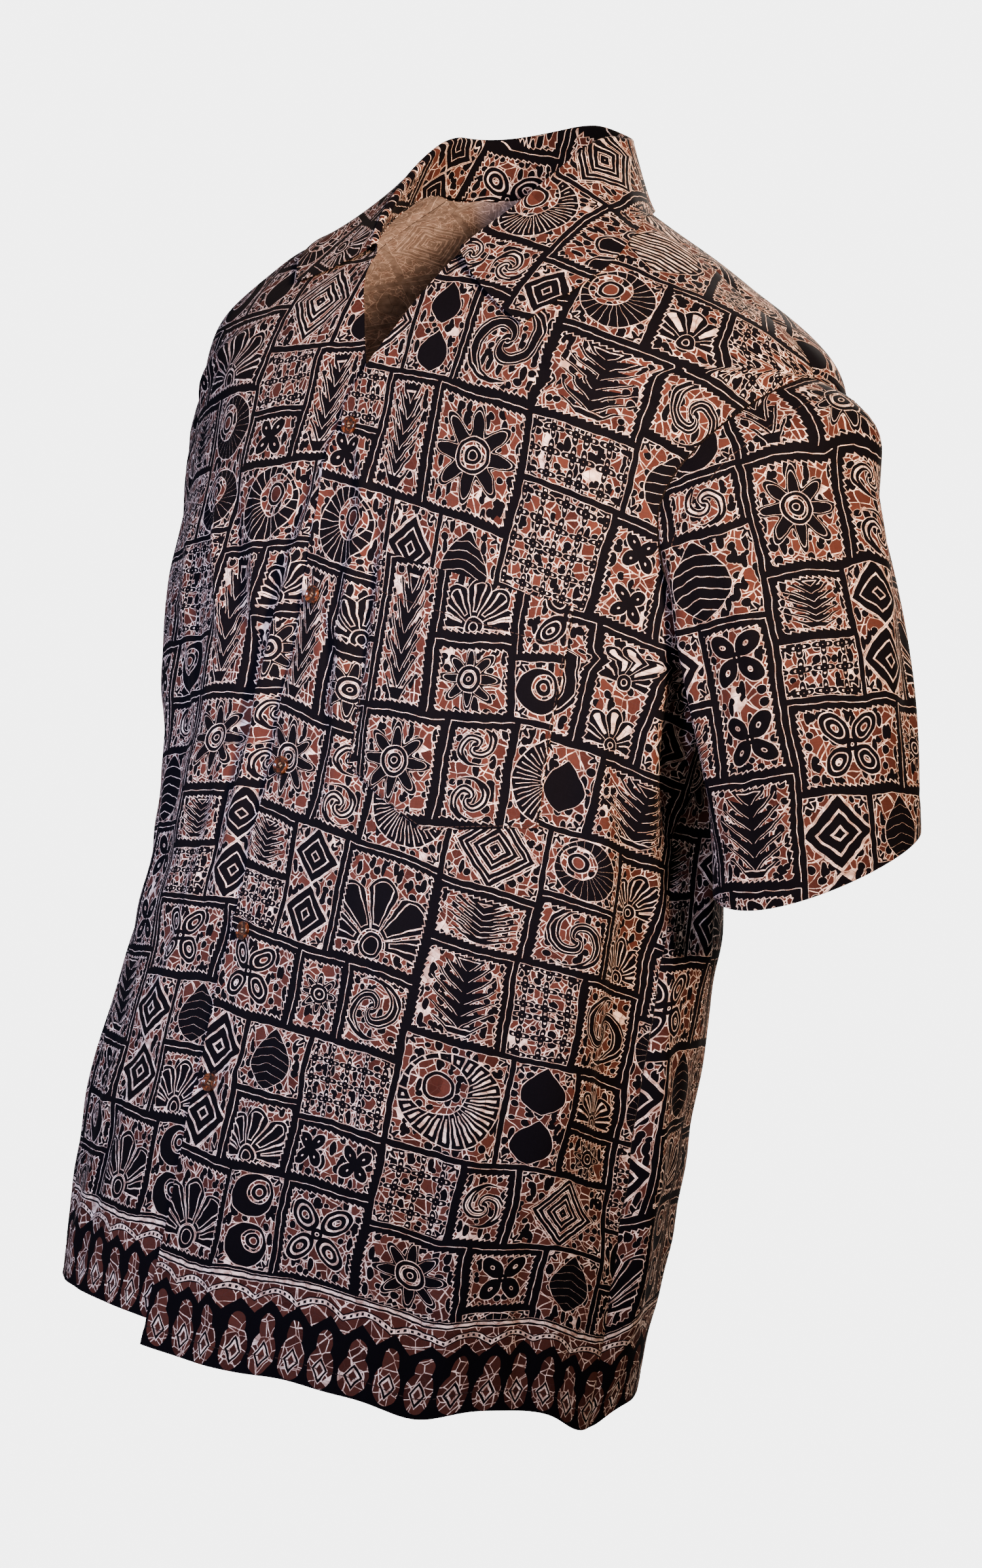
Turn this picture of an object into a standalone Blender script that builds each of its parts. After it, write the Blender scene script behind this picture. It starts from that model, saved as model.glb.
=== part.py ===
"""A short-sleeved batik shirt, as it hangs on the shoulders of whoever wears it.

Run it with: blender --background --python part.py

Metres, +Z up. The wearer faces -Y and their left is +X. The origin is the middle of the neck, level with
the tops of the shoulder seams, where the shirt is held up. Every cloth piece is a thin wall between two
grids of points, both read from one smooth body or sleeve shape, so it stays an open hollow garment.
"""

from math import cos, pi, radians, sin

import bpy
import numpy as np
from mathutils import Matrix, Vector

# Cloth
WALL = 0.0016  # the wall that stands for one layer of cloth
SEAM = 0.0004  # the gap between two pieces along their seam
CLOTH_COLOUR, CLOTH_ROUGHNESS = (0.30, 0.17, 0.12), 0.8
BUTTON_COLOUR, BUTTON_ROUGHNESS = (0.22, 0.07, 0.02), 0.25
LAP = 0.0024  # how far the under front lies below the upper one where they button
LAP_START, LAP_END = radians(-17), radians(-9)  # where the under front sinks to pass below

# Fronts
OVERLAP = 0.013  # from the centre line to the front edge
FRONT_FACES = 18
UNDER_HEM_RISE = 0.12  # how much higher the under front's hem hangs, in sections
BACK_FACES = 30

# Buttons
BUTTON_HEIGHTS = (-0.163, -0.2705, -0.378, -0.4825, -0.5775)
BUTTON_RADIUS = 0.0057
BUTTON_THICKNESS = 0.0024
BUTTON_STAND_OFF = 0.0007
BUTTON_RIM = 0.0012
HOLE_RADIUS = 0.0008
HOLE_SPACING = 0.0013

# Level cuts through the body of the shirt, from the hem to the neckline. Each is a rounded oval: how wide
# it is to each side, where its front, widest and back points lie, how high they are, and how square it is.
BODY_COLUMNS = ("half_width", "front_y", "middle_y", "back_y", "front_z", "side_z", "back_z", "square")
BODY = (
    (0.200, -0.184, 0.000, 0.126, -0.744, -0.742, -0.728, 2.30),  # hem
    (0.203, -0.172, 0.000, 0.138, -0.610, -0.610, -0.610, 2.30),  # hip
    (0.204, -0.154, 0.002, 0.144, -0.470, -0.470, -0.470, 2.30),  # waist
    (0.206, -0.142, 0.006, 0.141, -0.368, -0.365, -0.365, 2.30),  # chest
    (0.222, -0.137, 0.014, 0.144, -0.292, -0.285, -0.285, 2.30),  # underarm
    (0.236, -0.131, 0.022, 0.148, -0.222, -0.188, -0.188, 2.30),  # middle of the armhole
    (0.243, -0.124, 0.026, 0.136, -0.160, -0.099, -0.100, 2.30),  # shoulder point
    (0.166, -0.114, 0.018, 0.104, -0.106, -0.042, -0.030, 2.30),  # middle of the shoulder
    (0.078, -0.098, 0.010, 0.060, -0.056, 0.005, 0.022, 2.05),  # neckline
)
UNDERARM, SHOULDER, NECK = 4.0, 6.0, 8.0  # sections, counted from 0 at the hem
ROW_SECTIONS = (3, 3, 3, 3, 5, 7, 5, 3)  # how many rows of faces lie between one section and the next

# Where the hem hangs lower: the angle, how wide the wave is, and its depth. It fades out above the hem.
HEM_WAVES = (
    (30, 8, -0.003),
    (54, 7, 0.008),
    (88, 7, 0.014),
    (128, 12, 0.008),
    (-80, 12, 0.006),
    (-135, 12, 0.007),
)
HEM_WAVE_SECTIONS = 0.9

ARMHOLE_FRONT = radians(22)  # how far the armhole cuts into the front and into the back
ARMHOLE_BACK = radians(20)
ARMHOLE_SHAPE = 0.66
ARMHOLE_REACH = 2.5  # the higher, the fewer columns of faces bend to follow the armhole

# The opening at the throat: the front edge leaves the centre line at a section and ends at the neckline.
OPENING_BOTTOM = 5.75
OPENING_ANGLE = radians(20)

# Sleeves. The arm on the wearer's right is held a little further back.
CUFF_CENTRES = {1: (0.297, 0.022, -0.394), -1: (-0.278, 0.122, -0.394)}
CUFF_RADIUS = (0.056, 0.064)
ARM_LEAN = radians(9)
CUFF_DIP, CUFF_TILT = 0.031, 0.002  # how much lower a cuff hangs in front and on the outside
CUFF_LIFT = 0.016  # how much the outermost part of a cuff is held up
SLEEVE_ROWS = 10
SLEEVE_TOP_SLOPE, SLEEVE_UNDER_SLOPE = radians(42), radians(62)
SLEEVE_TOP_PULL, SLEEVE_UNDER_PULL = 0.20, 0.08
SLEEVE_CUFF_PULL = 0.16
SLEEVE_FULLNESS = {1: 0.014, -1: 0.003}  # the ease at the sleeve head
FULLNESS_PLACE = 0.12  # how far down the sleeve it lies

# Soft folds of the body: the angle from the centre front at their top and foot, their top and foot height,
# how wide they are, and how far they stand out, or go in where it is negative.
FOLD_COLUMNS = ("top_angle", "foot_angle", "top_z", "foot_z", "width", "height")
FOLDS = (
    (-64, -62, -0.17, -0.42, 19, 0.010),
    (-62, -62, -0.010, -0.105, 14, 0.007),
    (38, 36, -0.20, -0.42, 6, 0.003),
    (74, 70, -0.22, -0.64, 6, 0.008),
    (87, 82, -0.30, -0.62, 6, -0.007),
    (52, 56, -0.50, -0.80, 8, 0.004),
    (20, 24, -0.56, -0.80, 8, -0.003),
    (100, 96, -0.32, -0.76, 7, 0.005),
    (-34, -30, -0.18, -0.48, 6, 0.004),
    (-45, -40, -0.20, -0.50, 5, -0.004),
    (-64, -64, -0.30, -0.58, 12, -0.007),
    (-66, -58, -0.44, -0.80, 9, 0.007),
    (-86, -82, -0.32, -0.66, 6, -0.005),
    (-36, -38, -0.52, -0.80, 8, 0.003),
    (122, 118, -0.28, -0.70, 8, 0.005),
    (140, 142, -0.30, -0.70, 8, -0.005),
    (158, 162, -0.36, -0.80, 8, 0.006),
    (-122, -116, -0.28, -0.78, 8, 0.006),
    (-142, -146, -0.30, -0.72, 8, -0.005),
    (-166, -168, -0.40, -0.80, 8, 0.005),
)

# Patch pocket on the left front: its corners as an angle and a height, and the depth of its point.
POCKET_SIDES = (radians(17.5), radians(58.8))
POCKET_TURN = radians(2.6)  # how much further round its foot lies
POCKET_TOP, POCKET_CORNER, POCKET_POINT = -0.2475, -0.3815, -0.403
POCKET_DROP = 0.020  # how much lower its outer side hangs
POCKET_FACES = (12, 8)
POCKET_STAND_OFF = 0.0012
POCKET_WALL = 0.0012

# The collar, from its front end round to the centre back: where it is sewn on, how high its fold stands
# above the seam and how far in it leans, and where on the body the edge of the fall lies.
COLLAR_COLUMNS = ("seam_angle", "rise", "lean", "edge_angle", "edge_section")
COLLAR = (
    (22, 0.002, 0.000, 43, 6.68),
    (31, 0.012, 0.003, 51, 6.86),
    (48, 0.025, 0.008, 62, 7.14),
    (70, 0.034, 0.012, 76, 7.52),
    (95, 0.037, 0.013, 95, 7.80),
    (125, 0.038, 0.011, 122, 7.87),
    (155, 0.037, 0.008, 153, 7.89),
    (180, 0.037, 0.006, 180, 7.89),
)
COLLAR_RISE = 0.42  # how much higher the edge of the collar lies at the wearer's right front, in sections
COLLAR_FACES = 17  # from the front end to the centre back
COLLAR_ROLL = 0.0026
COLLAR_STAND_OFF = 0.0030
COLLAR_DROP = 1.6
STAND_FACES, FALL_FACES = 3, 6


def smooth_rows(table, places):
    """The rows of a table at any place between them, on a smooth curve through every row."""
    rows = np.array(table, float)
    rows = np.vstack([2 * rows[0] - rows[1], rows, 2 * rows[-1] - rows[-2]])
    places = np.clip(np.asarray(places, float), 0, len(table) - 1)
    start = np.minimum(places.astype(int), len(table) - 2)
    u = (places - start)[..., None]
    before, low, high, after = (rows[start + k] for k in range(4))
    return 0.5 * (
        2 * low
        + (high - before) * u
        + (2 * before - 5 * low + 4 * high - after) * u**2
        + (3 * low - before - 3 * high + after) * u**3
    )


def hem_wave(angle, section):
    fade = np.clip(1 - section / HEM_WAVE_SECTIONS, 0, 1) ** 2
    waves = [
        depth * np.exp(-(((np.degrees(angle) - middle + 180) % 360 - 180) / width) ** 2)
        for middle, width, depth in HEM_WAVES
    ]
    return fade * sum(waves)


def body_base(angle, section):
    """A point of the body before its folds. The angle runs from the centre front over the wearer's left."""
    half, front_y, middle_y, back_y, front_z, side_z, back_z, square = np.moveaxis(
        smooth_rows(BODY, section), -1, 0
    )
    ahead = np.cos(angle) > 0
    depth = np.where(ahead, middle_y - front_y, back_y - middle_y)
    end_z = np.where(ahead, front_z, back_z)
    across, along = np.abs(np.sin(angle)) / half, np.abs(np.cos(angle)) / depth
    radius = (across**square + along**square) ** (-1 / square)
    height = side_z + (end_z - side_z) * np.cos(angle) ** 2 - hem_wave(angle, section)
    return np.stack([radius * np.sin(angle), middle_y - radius * np.cos(angle), height], axis=-1)


def smooth_step(low, high, value):
    u = np.clip((value - low) / (high - low), 0, 1)
    return u * u * (3 - 2 * u)


def fold_height(angle, height):
    """How far the folds move the cloth out at an angle and a height."""
    out = np.zeros_like(angle)
    for top_angle, foot_angle, top_z, foot_z, width, size in FOLDS:
        down = np.clip((top_z - height) / (top_z - foot_z), 0, 1)
        middle = np.radians(top_angle + (foot_angle - top_angle) * down)
        off = (angle - middle + pi) % (2 * pi) - pi
        fade_in = smooth_step(0, 0.5, (top_z - height) / (top_z - foot_z))
        fade_out = smooth_step(foot_z - 0.04, foot_z + 0.09, height)
        out += size * np.exp(-((off / radians(width)) ** 2)) * fade_in * fade_out
    return out


def surface_and_normal(shape, angle, section, step=1e-3):
    """A point of a shape and the direction that points out of it there."""
    point = shape(angle, section)
    round_it = shape(angle + step, section) - shape(angle - step, section)
    low = np.clip(section - step, 0, NECK)
    high = np.clip(section + step, 0, NECK)
    up_it = shape(angle, high) - shape(angle, low)
    normal = np.cross(round_it, up_it)
    return point, normal / np.linalg.norm(normal, axis=-1, keepdims=True)


def body(angle, section, out=0.0):
    """A point of the body with its folds, moved out from the cloth by a distance."""
    angle, section = np.broadcast_arrays(np.asarray(angle, float), np.asarray(section, float))
    point, normal = surface_and_normal(body_base, angle, section)
    return point + normal * (fold_height(angle, point[..., 2]) + out)[..., None]


def body_normal(angle, section):
    angle, section = np.broadcast_arrays(np.asarray(angle, float), np.asarray(section, float))
    return surface_and_normal(body, angle, section)[1]


def section_at(angle, height):
    """The section whose cloth is at this height, for an angle and a height below the shoulder."""
    low, high = np.zeros_like(height), np.full_like(height, NECK)
    for _ in range(30):
        middle = (low + high) / 2
        below = body_base(angle, middle)[..., 2] < height
        low, high = np.where(below, middle, low), np.where(below, high, middle)
    return (low + high) / 2


def body_rows():
    """The sections that the rows of the panels lie on."""
    rows = [k + step / count for k, count in enumerate(ROW_SECTIONS) for step in range(count)]
    return np.array([*rows, NECK])


def armhole_angle(section, cut):
    """How far from the side the armhole's edge lies at each section."""
    share = np.clip((section - UNDERARM) / (SHOULDER - UNDERARM), 0, 1)
    return cut * np.sin(pi * share) ** ARMHOLE_SHAPE


def front_edge_angle(section):
    """The angle of the front edge: past the centre line below the opening, and away from it above."""
    centre = body_base(np.zeros_like(section), section)
    middle_y = smooth_rows(BODY, section)[..., 2]
    past = -OVERLAP / (middle_y - centre[..., 1])
    opened = smooth_step(OPENING_BOTTOM, NECK + 1.2, section) / smooth_step(OPENING_BOTTOM, NECK + 1.2, NECK)
    return past + (OPENING_ANGLE - past) * np.clip(opened, 0, 1)


def sheet(name, outer, inner, colour, closed=False):
    """A cloth piece: a wall between an outer grid of points, which faces out, and an inner one."""
    rows, columns = outer.shape[:2]
    layer = rows * columns
    across = columns if closed else columns - 1
    faces = []
    for i in range(rows - 1):
        for j in range(across):
            a, b = i * columns + j, i * columns + (j + 1) % columns
            faces.append((a, b, b + columns, a + columns))
            faces.append((a + columns + layer, b + columns + layer, b + layer, a + layer))
    top = (rows - 1) * columns
    rim = [(j, (j + 1) % columns) for j in range(across)]
    rim += [(top + (j + 1) % columns, top + j) for j in range(across)]
    if not closed:
        rim += [((i + 1) * columns, i * columns) for i in range(rows - 1)]
        rim += [((i + 1) * columns - 1, (i + 2) * columns - 1) for i in range(rows - 1)]
    faces += [(b, a, a + layer, b + layer) for a, b in rim]
    mesh = bpy.data.meshes.new(name)
    mesh.from_pydata(np.concatenate([outer, inner]).reshape(-1, 3).tolist(), [], faces)
    mesh.shade_smooth()
    mesh.set_sharp_from_angle(angle=radians(50))
    mesh.materials.append(material(name, colour, CLOTH_ROUGHNESS))
    piece = bpy.data.objects.new(name, mesh)
    bpy.context.scene.collection.objects.link(piece)


def moved_in(grid, wall, closed=False):
    """The grid's points moved in by the wall, square to the grid."""
    padded = np.concatenate([grid[:, -1:], grid, grid[:, :1]], axis=1) if closed else grid
    along = np.gradient(padded, axis=1)
    along = along[:, 1:-1] if closed else along
    up = np.gradient(grid, axis=0)
    normal = np.cross(along, up)
    return grid - wall * normal / np.linalg.norm(normal, axis=-1, keepdims=True)


def material(name, colour, roughness):
    made = bpy.data.materials.new(name)
    made.use_nodes = True
    shader = made.node_tree.nodes["Principled BSDF"]
    shader.inputs["Base Color"].default_value = (*colour, 1)
    shader.inputs["Roughness"].default_value = roughness
    shader.inputs["Metallic"].default_value = 0
    return made


def row_gap(angle, section):
    """The angle that half a seam's gap takes up on the body."""
    point = body_base(angle, section)
    middle_y = smooth_rows(BODY, section)[..., 2]
    return SEAM / 2 / np.hypot(point[..., 0], point[..., 1] - middle_y)


def front_grids(side):
    """The two faces of one front, from its front edge to its side seam. side is 1 for the wearer's left."""
    rows = body_rows()
    edge = front_edge_angle(rows)
    cut = armhole_angle(rows, ARMHOLE_FRONT)
    cut = cut + row_gap(pi / 2 - cut, rows)
    share = np.linspace(0, 1, FRONT_FACES + 1)
    angle = side * (edge[:, None] + (pi / 2 - edge)[:, None] * share - cut[:, None] * share**ARMHOLE_REACH)
    section = rows[:, None] + np.zeros_like(angle)
    sunk = 0.0
    if side < 0:
        section[0] += UNDER_HEM_RISE * (1 - share**3)
        angle, section = angle[:, ::-1], section[:, ::-1]
        sunk = LAP * smooth_step(LAP_START, LAP_END, angle)
    return body(angle, section, -sunk), body(angle, section, -sunk - WALL)


def back_grids():
    rows = body_rows()
    cut = armhole_angle(rows, ARMHOLE_BACK)
    cut = cut + row_gap(pi / 2 + cut, rows)
    share = np.linspace(-1, 1, BACK_FACES + 1)
    angle = pi + share * pi / 2 - cut[:, None] * np.sign(share) * np.abs(share) ** ARMHOLE_REACH
    section = np.broadcast_to(rows[:, None], angle.shape)
    return body(angle, section), body(angle, section, -WALL)


def armhole_ring(side):
    """One armhole's edge, from the underarm up the front, over the shoulder and down the back."""
    rows = body_rows()
    rows = rows[(rows >= UNDERARM) & (rows <= SHOULDER)]
    front = body(side * (pi / 2 - armhole_angle(rows, ARMHOLE_FRONT)), rows)
    back = body(side * (pi / 2 + armhole_angle(rows, ARMHOLE_BACK)), rows)
    turn = np.linspace(-pi / 2, pi / 2, len(rows))
    ring = np.concatenate([front, back[-2:0:-1]])
    return ring, np.concatenate([turn, pi - turn[-2:0:-1]])


def cuff_ring(side, turn):
    """Points of a cuff. The turn is -90 degrees at the underarm, 0 in front and 90 on the outside."""
    rise = np.sin(turn)[:, None] * np.array([side * CUFF_RADIUS[0] * cos(ARM_LEAN), 0, -CUFF_TILT])
    ahead = np.cos(turn)[:, None] * np.array([0, -CUFF_RADIUS[1], -CUFF_DIP])
    lift = ((1 + np.sin(turn[:, None])) / 2) ** 2 * np.array([0, 0, CUFF_LIFT])
    return np.array(CUFF_CENTRES[side]) + rise + ahead + lift


def sleeve_grids(side):
    """The two faces of a sleeve. Each line of it is a curve that leaves the shoulder and hangs."""
    start, turn = armhole_ring(side)
    end = cuff_ring(side, turn)
    top = (1 + np.sin(turn)) / 2
    slope = SLEEVE_UNDER_SLOPE + (SLEEVE_TOP_SLOPE - SLEEVE_UNDER_SLOPE) * top
    pull = SLEEVE_UNDER_PULL + (SLEEVE_TOP_PULL - SLEEVE_UNDER_PULL) * top
    leave = np.stack([side * np.cos(slope), np.zeros_like(slope), -np.sin(slope)], -1)
    arrive = np.array([side * sin(ARM_LEAN), 0, -cos(ARM_LEAN)])
    start = start + leave * SEAM
    u = np.linspace(0, 1, SLEEVE_ROWS + 1)[:, None, None]
    outer = (
        (2 * u**3 - 3 * u**2 + 1) * start
        + (u**3 - 2 * u**2 + u) * leave * pull[:, None]
        + (3 * u**2 - 2 * u**3) * end
        + (u**3 - u**2) * arrive * SLEEVE_CUFF_PULL
    )
    outward = np.array([side * cos(ARM_LEAN), 0, sin(ARM_LEAN)])
    ease = SLEEVE_FULLNESS[side] * np.exp(-(((u - FULLNESS_PLACE) / (0.7 * FULLNESS_PLACE)) ** 2))
    outer = outer + ease * u.clip(0, 0.05) / 0.05 * (top**2)[:, None] * outward
    outer = outer[::-side]
    return outer, moved_in(outer, WALL, closed=True)


def pocket_grids():
    across, down = POCKET_FACES
    u = np.linspace(0, 1, across + 1)
    v = np.linspace(0, 1, down + 1)[:, None]
    foot = POCKET_CORNER + (POCKET_POINT - POCKET_CORNER) * (1 - np.abs(2 * u - 1))
    height = foot + (POCKET_TOP - foot) * v - POCKET_DROP * (u - 0.5)
    angle = POCKET_SIDES[0] + (POCKET_SIDES[1] - POCKET_SIDES[0]) * u + POCKET_TURN * (1 - v)
    section = section_at(angle, height)
    return body(angle, section, POCKET_STAND_OFF + POCKET_WALL), body(angle, section, POCKET_STAND_OFF)


def collar_half(side):
    """One half of the collar, from its front end to the centre back. A column runs from the seam over the fold."""
    place = np.linspace(0, len(COLLAR) - 1, COLLAR_FACES + 1)
    seam_angle, rise, lean, edge_angle, edge_section = smooth_rows(COLLAR, place).T
    if side < 0:
        edge_section = edge_section + COLLAR_RISE * (1 - place / place[-1]) ** 2
    seam_angle, edge_angle = side * np.radians(seam_angle), side * np.radians(edge_angle)
    share = np.linspace(0, 1, FALL_FACES + 1)
    middle = np.array([0, BODY[-1][2], 0])
    columns = []
    for k in range(len(place)):
        foot = body_base(seam_angle[k], NECK) + np.array([0, 0, SEAM])
        out = (foot - middle) * np.array([1, 1, 0])
        out = out / np.linalg.norm(out)
        top = foot + np.array([0, 0, rise[k]]) - out * lean[k]
        stand = [foot + (top - foot) * s for s in np.linspace(0, 1, STAND_FACES + 1)]
        crown = top + out * COLLAR_ROLL + np.array([0, 0, COLLAR_ROLL])
        angle = seam_angle[k] + (edge_angle[k] - seam_angle[k]) * share
        section = NECK + (edge_section[k] - NECK) * share
        lying = body(angle, section, COLLAR_STAND_OFF)
        lift = top + out * 2 * COLLAR_ROLL - lying[0]
        columns.append([*stand, crown, *lying + lift * ((1 - share) ** COLLAR_DROP)[:, None]])
    return np.array(columns)


def collar_grids():
    outer = np.concatenate([collar_half(1), collar_half(-1)[-2::-1]])
    return outer, moved_in(outer, WALL)


def button(name, height):
    """A four-hole button with a raised rim, on the centre line of the left front."""
    section = section_at(np.zeros(1), np.array([height]))[0]
    seat = body(0.0, section, BUTTON_STAND_OFF)
    normal = Vector(body_normal(0.0, section))
    profile = (
        (0.0, 0.0),
        (BUTTON_RADIUS * 0.75, 0.0),
        (BUTTON_RADIUS, BUTTON_THICKNESS * 0.4),
        (BUTTON_RADIUS * 0.93, BUTTON_THICKNESS),
        (BUTTON_RADIUS - BUTTON_RIM, BUTTON_THICKNESS),
        (BUTTON_RADIUS - 2 * BUTTON_RIM, BUTTON_THICKNESS * 0.62),
        (0.0, BUTTON_THICKNESS * 0.62),
    )
    sides = 14
    turns = [2 * pi * k / sides for k in range(sides)]
    points = [(0, 0, profile[0][1])]
    for radius, z in profile[1:-1]:
        points += [(radius * cos(turn), radius * sin(turn), z) for turn in turns]
    points.append((0, 0, profile[-1][1]))
    rings = len(profile) - 2
    faces = [(0, 1 + (k + 1) % sides, 1 + k) for k in range(sides)]
    for ring in range(rings - 1):
        for k in range(sides):
            a, b = 1 + ring * sides + k, 1 + ring * sides + (k + 1) % sides
            faces.append((a, b, b + sides, a + sides))
    last = 1 + (rings - 1) * sides
    faces += [(last + k, last + (k + 1) % sides, len(points) - 1) for k in range(sides)]
    mesh = bpy.data.meshes.new(name)
    mesh.from_pydata(points, [], faces)
    mesh.shade_smooth()
    mesh.materials.append(material(name, BUTTON_COLOUR, BUTTON_ROUGHNESS))
    piece = bpy.data.objects.new(name, mesh)
    bpy.context.scene.collection.objects.link(piece)
    across = Vector((0, 0, 1)).cross(normal).normalized()
    turned = Matrix((across, normal.cross(across), normal)).transposed().to_4x4()
    piece.matrix_world = Matrix.Translation(Vector(seat)) @ turned
    for k in range(4):
        turn = pi / 4 + k * pi / 2
        bpy.ops.mesh.primitive_cylinder_add(
            vertices=5,
            radius=HOLE_RADIUS,
            depth=4 * BUTTON_THICKNESS,
            location=(HOLE_SPACING * cos(turn), HOLE_SPACING * sin(turn), 0),
        )
        cutter = bpy.context.active_object
        cutter.name = f"{name}_hole_{k + 1}"
        cutter.parent = piece
        cutter.hide_render = True
        cutter.display_type = "WIRE"
        cut = piece.modifiers.new("hole", "BOOLEAN")
        cut.operation = "DIFFERENCE"
        cut.object = cutter


def build():
    for old in list(bpy.data.objects):
        bpy.data.objects.remove(old)
    sheet("left_front", *front_grids(1), CLOTH_COLOUR)
    sheet("right_front", *front_grids(-1), CLOTH_COLOUR)
    sheet("back", *back_grids(), CLOTH_COLOUR)
    sheet("left_sleeve", *sleeve_grids(1), CLOTH_COLOUR, closed=True)
    sheet("right_sleeve", *sleeve_grids(-1), CLOTH_COLOUR, closed=True)
    sheet("pocket", *pocket_grids(), CLOTH_COLOUR)
    sheet("collar", *collar_grids(), CLOTH_COLOUR)
    for k, height in enumerate(BUTTON_HEIGHTS):
        button(f"button_{k + 1}", height)


build()
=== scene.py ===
# %% [markdown]
# # A short-sleeved batik shirt
#
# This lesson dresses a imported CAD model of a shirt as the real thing: light plain-weave cotton with a
# wax-resist print, cut and sewn as a man's camp shirt, hanging as it does on the body of a wearer. The CAD
# model gives the size and the place of every piece. Each piece is made again here with finer creases, a thin
# edge, a print that runs with the grain of the cut, and sewing.

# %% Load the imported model
from math import cos, pi, radians, sin

import bpy
import numpy as np
from mathutils import Matrix, Vector


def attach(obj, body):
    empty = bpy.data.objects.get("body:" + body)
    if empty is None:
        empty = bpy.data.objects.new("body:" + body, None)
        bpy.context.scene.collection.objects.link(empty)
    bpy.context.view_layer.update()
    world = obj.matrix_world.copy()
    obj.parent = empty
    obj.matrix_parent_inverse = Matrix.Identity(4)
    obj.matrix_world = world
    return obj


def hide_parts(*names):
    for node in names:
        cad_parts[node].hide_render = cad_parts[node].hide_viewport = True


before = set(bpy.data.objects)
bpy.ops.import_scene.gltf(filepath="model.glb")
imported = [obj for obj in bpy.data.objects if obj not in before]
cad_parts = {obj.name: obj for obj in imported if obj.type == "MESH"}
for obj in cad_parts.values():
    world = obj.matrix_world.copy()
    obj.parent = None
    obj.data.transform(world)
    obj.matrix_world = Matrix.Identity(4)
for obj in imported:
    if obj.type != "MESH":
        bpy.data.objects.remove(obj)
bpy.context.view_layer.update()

# %% [markdown]
# ## The camera
#
# The shirt is looked at from its wearer's left front, a little above the middle of the shirt, with a long lens
# so that the sleeve nearest the camera isn't blown up. The camera is turned from three angles, because
# a lens that is rolled a little, as one held in the hand is, can't be set by a target alone.

# %% The camera
CAMERA_PLACE = (1.58, -1.63, -0.30)
YAW, PITCH, ROLL = radians(43.3), radians(1.9), radians(7.8)
LENS, SENSOR = 80.15, 36  # mm
ahead = Vector((-sin(YAW) * cos(PITCH), cos(YAW) * cos(PITCH), -sin(PITCH)))
level = Vector((cos(YAW), sin(YAW), 0))
right = cos(ROLL) * level + sin(ROLL) * level.cross(ahead)
up = -sin(ROLL) * level + cos(ROLL) * level.cross(ahead)
bpy.ops.object.camera_add(location=CAMERA_PLACE)
camera = bpy.context.active_object
camera.name = "studio_camera"
turn = Matrix((right, up, -ahead)).transposed().to_4x4()
camera.matrix_world = Matrix.Translation(CAMERA_PLACE) @ turn
camera.data.sensor_fit = "VERTICAL"
camera.data.sensor_height, camera.data.lens = SENSOR, LENS
bpy.context.scene.camera = camera
print("The camera is", round(camera.location.length, 2), "m from the shirt's neck")

# %% [markdown]
# ## The shape of the shirt
#
# Cloth on a body is held by the neck and the shoulders and falls from there. So the shape is one smooth body,
# given by level cuts from the hem to the neckline, and every piece that lies on it is read from it by an angle
# round the body and a place up it. The fronts and the back then meet at their seams by themselves. A cloth
# simulation could drape them too, but it would move the pieces off their places in the CAD model, and the long
# folds of this shirt are few enough to be placed one by one.

# %% The body's cuts, as in the CAD model
WALL = 0.0006
SEAM = 0.0004
LAP = 0.0024
LAP_START, LAP_END = radians(-17), radians(-9)
OVERLAP = 0.013
UNDER_HEM_RISE = 0.12

# half_width, front_y, middle_y, back_y, front_z, side_z, back_z, square
BODY = (
    (0.200, -0.184, 0.000, 0.126, -0.744, -0.742, -0.728, 2.30),  # hem
    (0.203, -0.172, 0.000, 0.138, -0.610, -0.610, -0.610, 2.30),  # hip
    (0.204, -0.154, 0.002, 0.144, -0.470, -0.470, -0.470, 2.30),  # waist
    (0.206, -0.142, 0.006, 0.141, -0.368, -0.365, -0.365, 2.30),  # chest
    (0.222, -0.137, 0.014, 0.144, -0.292, -0.285, -0.285, 2.30),  # underarm
    (0.236, -0.131, 0.022, 0.148, -0.222, -0.188, -0.188, 2.30),  # middle of the armhole
    (0.243, -0.124, 0.026, 0.136, -0.160, -0.099, -0.100, 2.30),  # shoulder point
    (0.166, -0.114, 0.018, 0.104, -0.106, -0.042, -0.030, 2.30),  # middle of the shoulder
    (0.078, -0.098, 0.010, 0.060, -0.056, 0.005, 0.022, 2.05),  # neckline
)
UNDERARM, SHOULDER, NECK = 4.0, 6.0, 8.0
ROW_SECTIONS = (34, 35, 26, 20, 26, 30, 22, 20)  # rows of faces about 4 mm apart

# where round the hem a wave lies and how wide it is, in degrees, and how deep
HEM_WAVES = (
    (30, 8, -0.003), (54, 7, 0.008), (88, 7, 0.014), (128, 12, 0.008), (-80, 12, 0.006), (-135, 12, 0.007),
)  # fmt: skip
HEM_WAVE_SECTIONS = 0.9
ARMHOLE_FRONT, ARMHOLE_BACK = radians(22), radians(20)
ARMHOLE_SHAPE = 0.66
ARMHOLE_REACH = 2.5
OPENING_BOTTOM = 5.75
OPENING_ANGLE = radians(20)
FRONT_FACES, BACK_FACES = 88, 150


def smooth_rows(table, places):
    """The rows of a table at any place between them, on a smooth curve through every row."""
    rows = np.array(table, float)
    rows = np.vstack([2 * rows[0] - rows[1], rows, 2 * rows[-1] - rows[-2]])
    places = np.clip(np.asarray(places, float), 0, len(table) - 1)
    start = np.minimum(places.astype(int), len(table) - 2)
    u = (places - start)[..., None]
    before, low, high, after = (rows[start + k] for k in range(4))
    return 0.5 * (
        2 * low
        + (high - before) * u
        + (2 * before - 5 * low + 4 * high - after) * u**2
        + (3 * low - before - 3 * high + after) * u**3
    )


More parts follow.
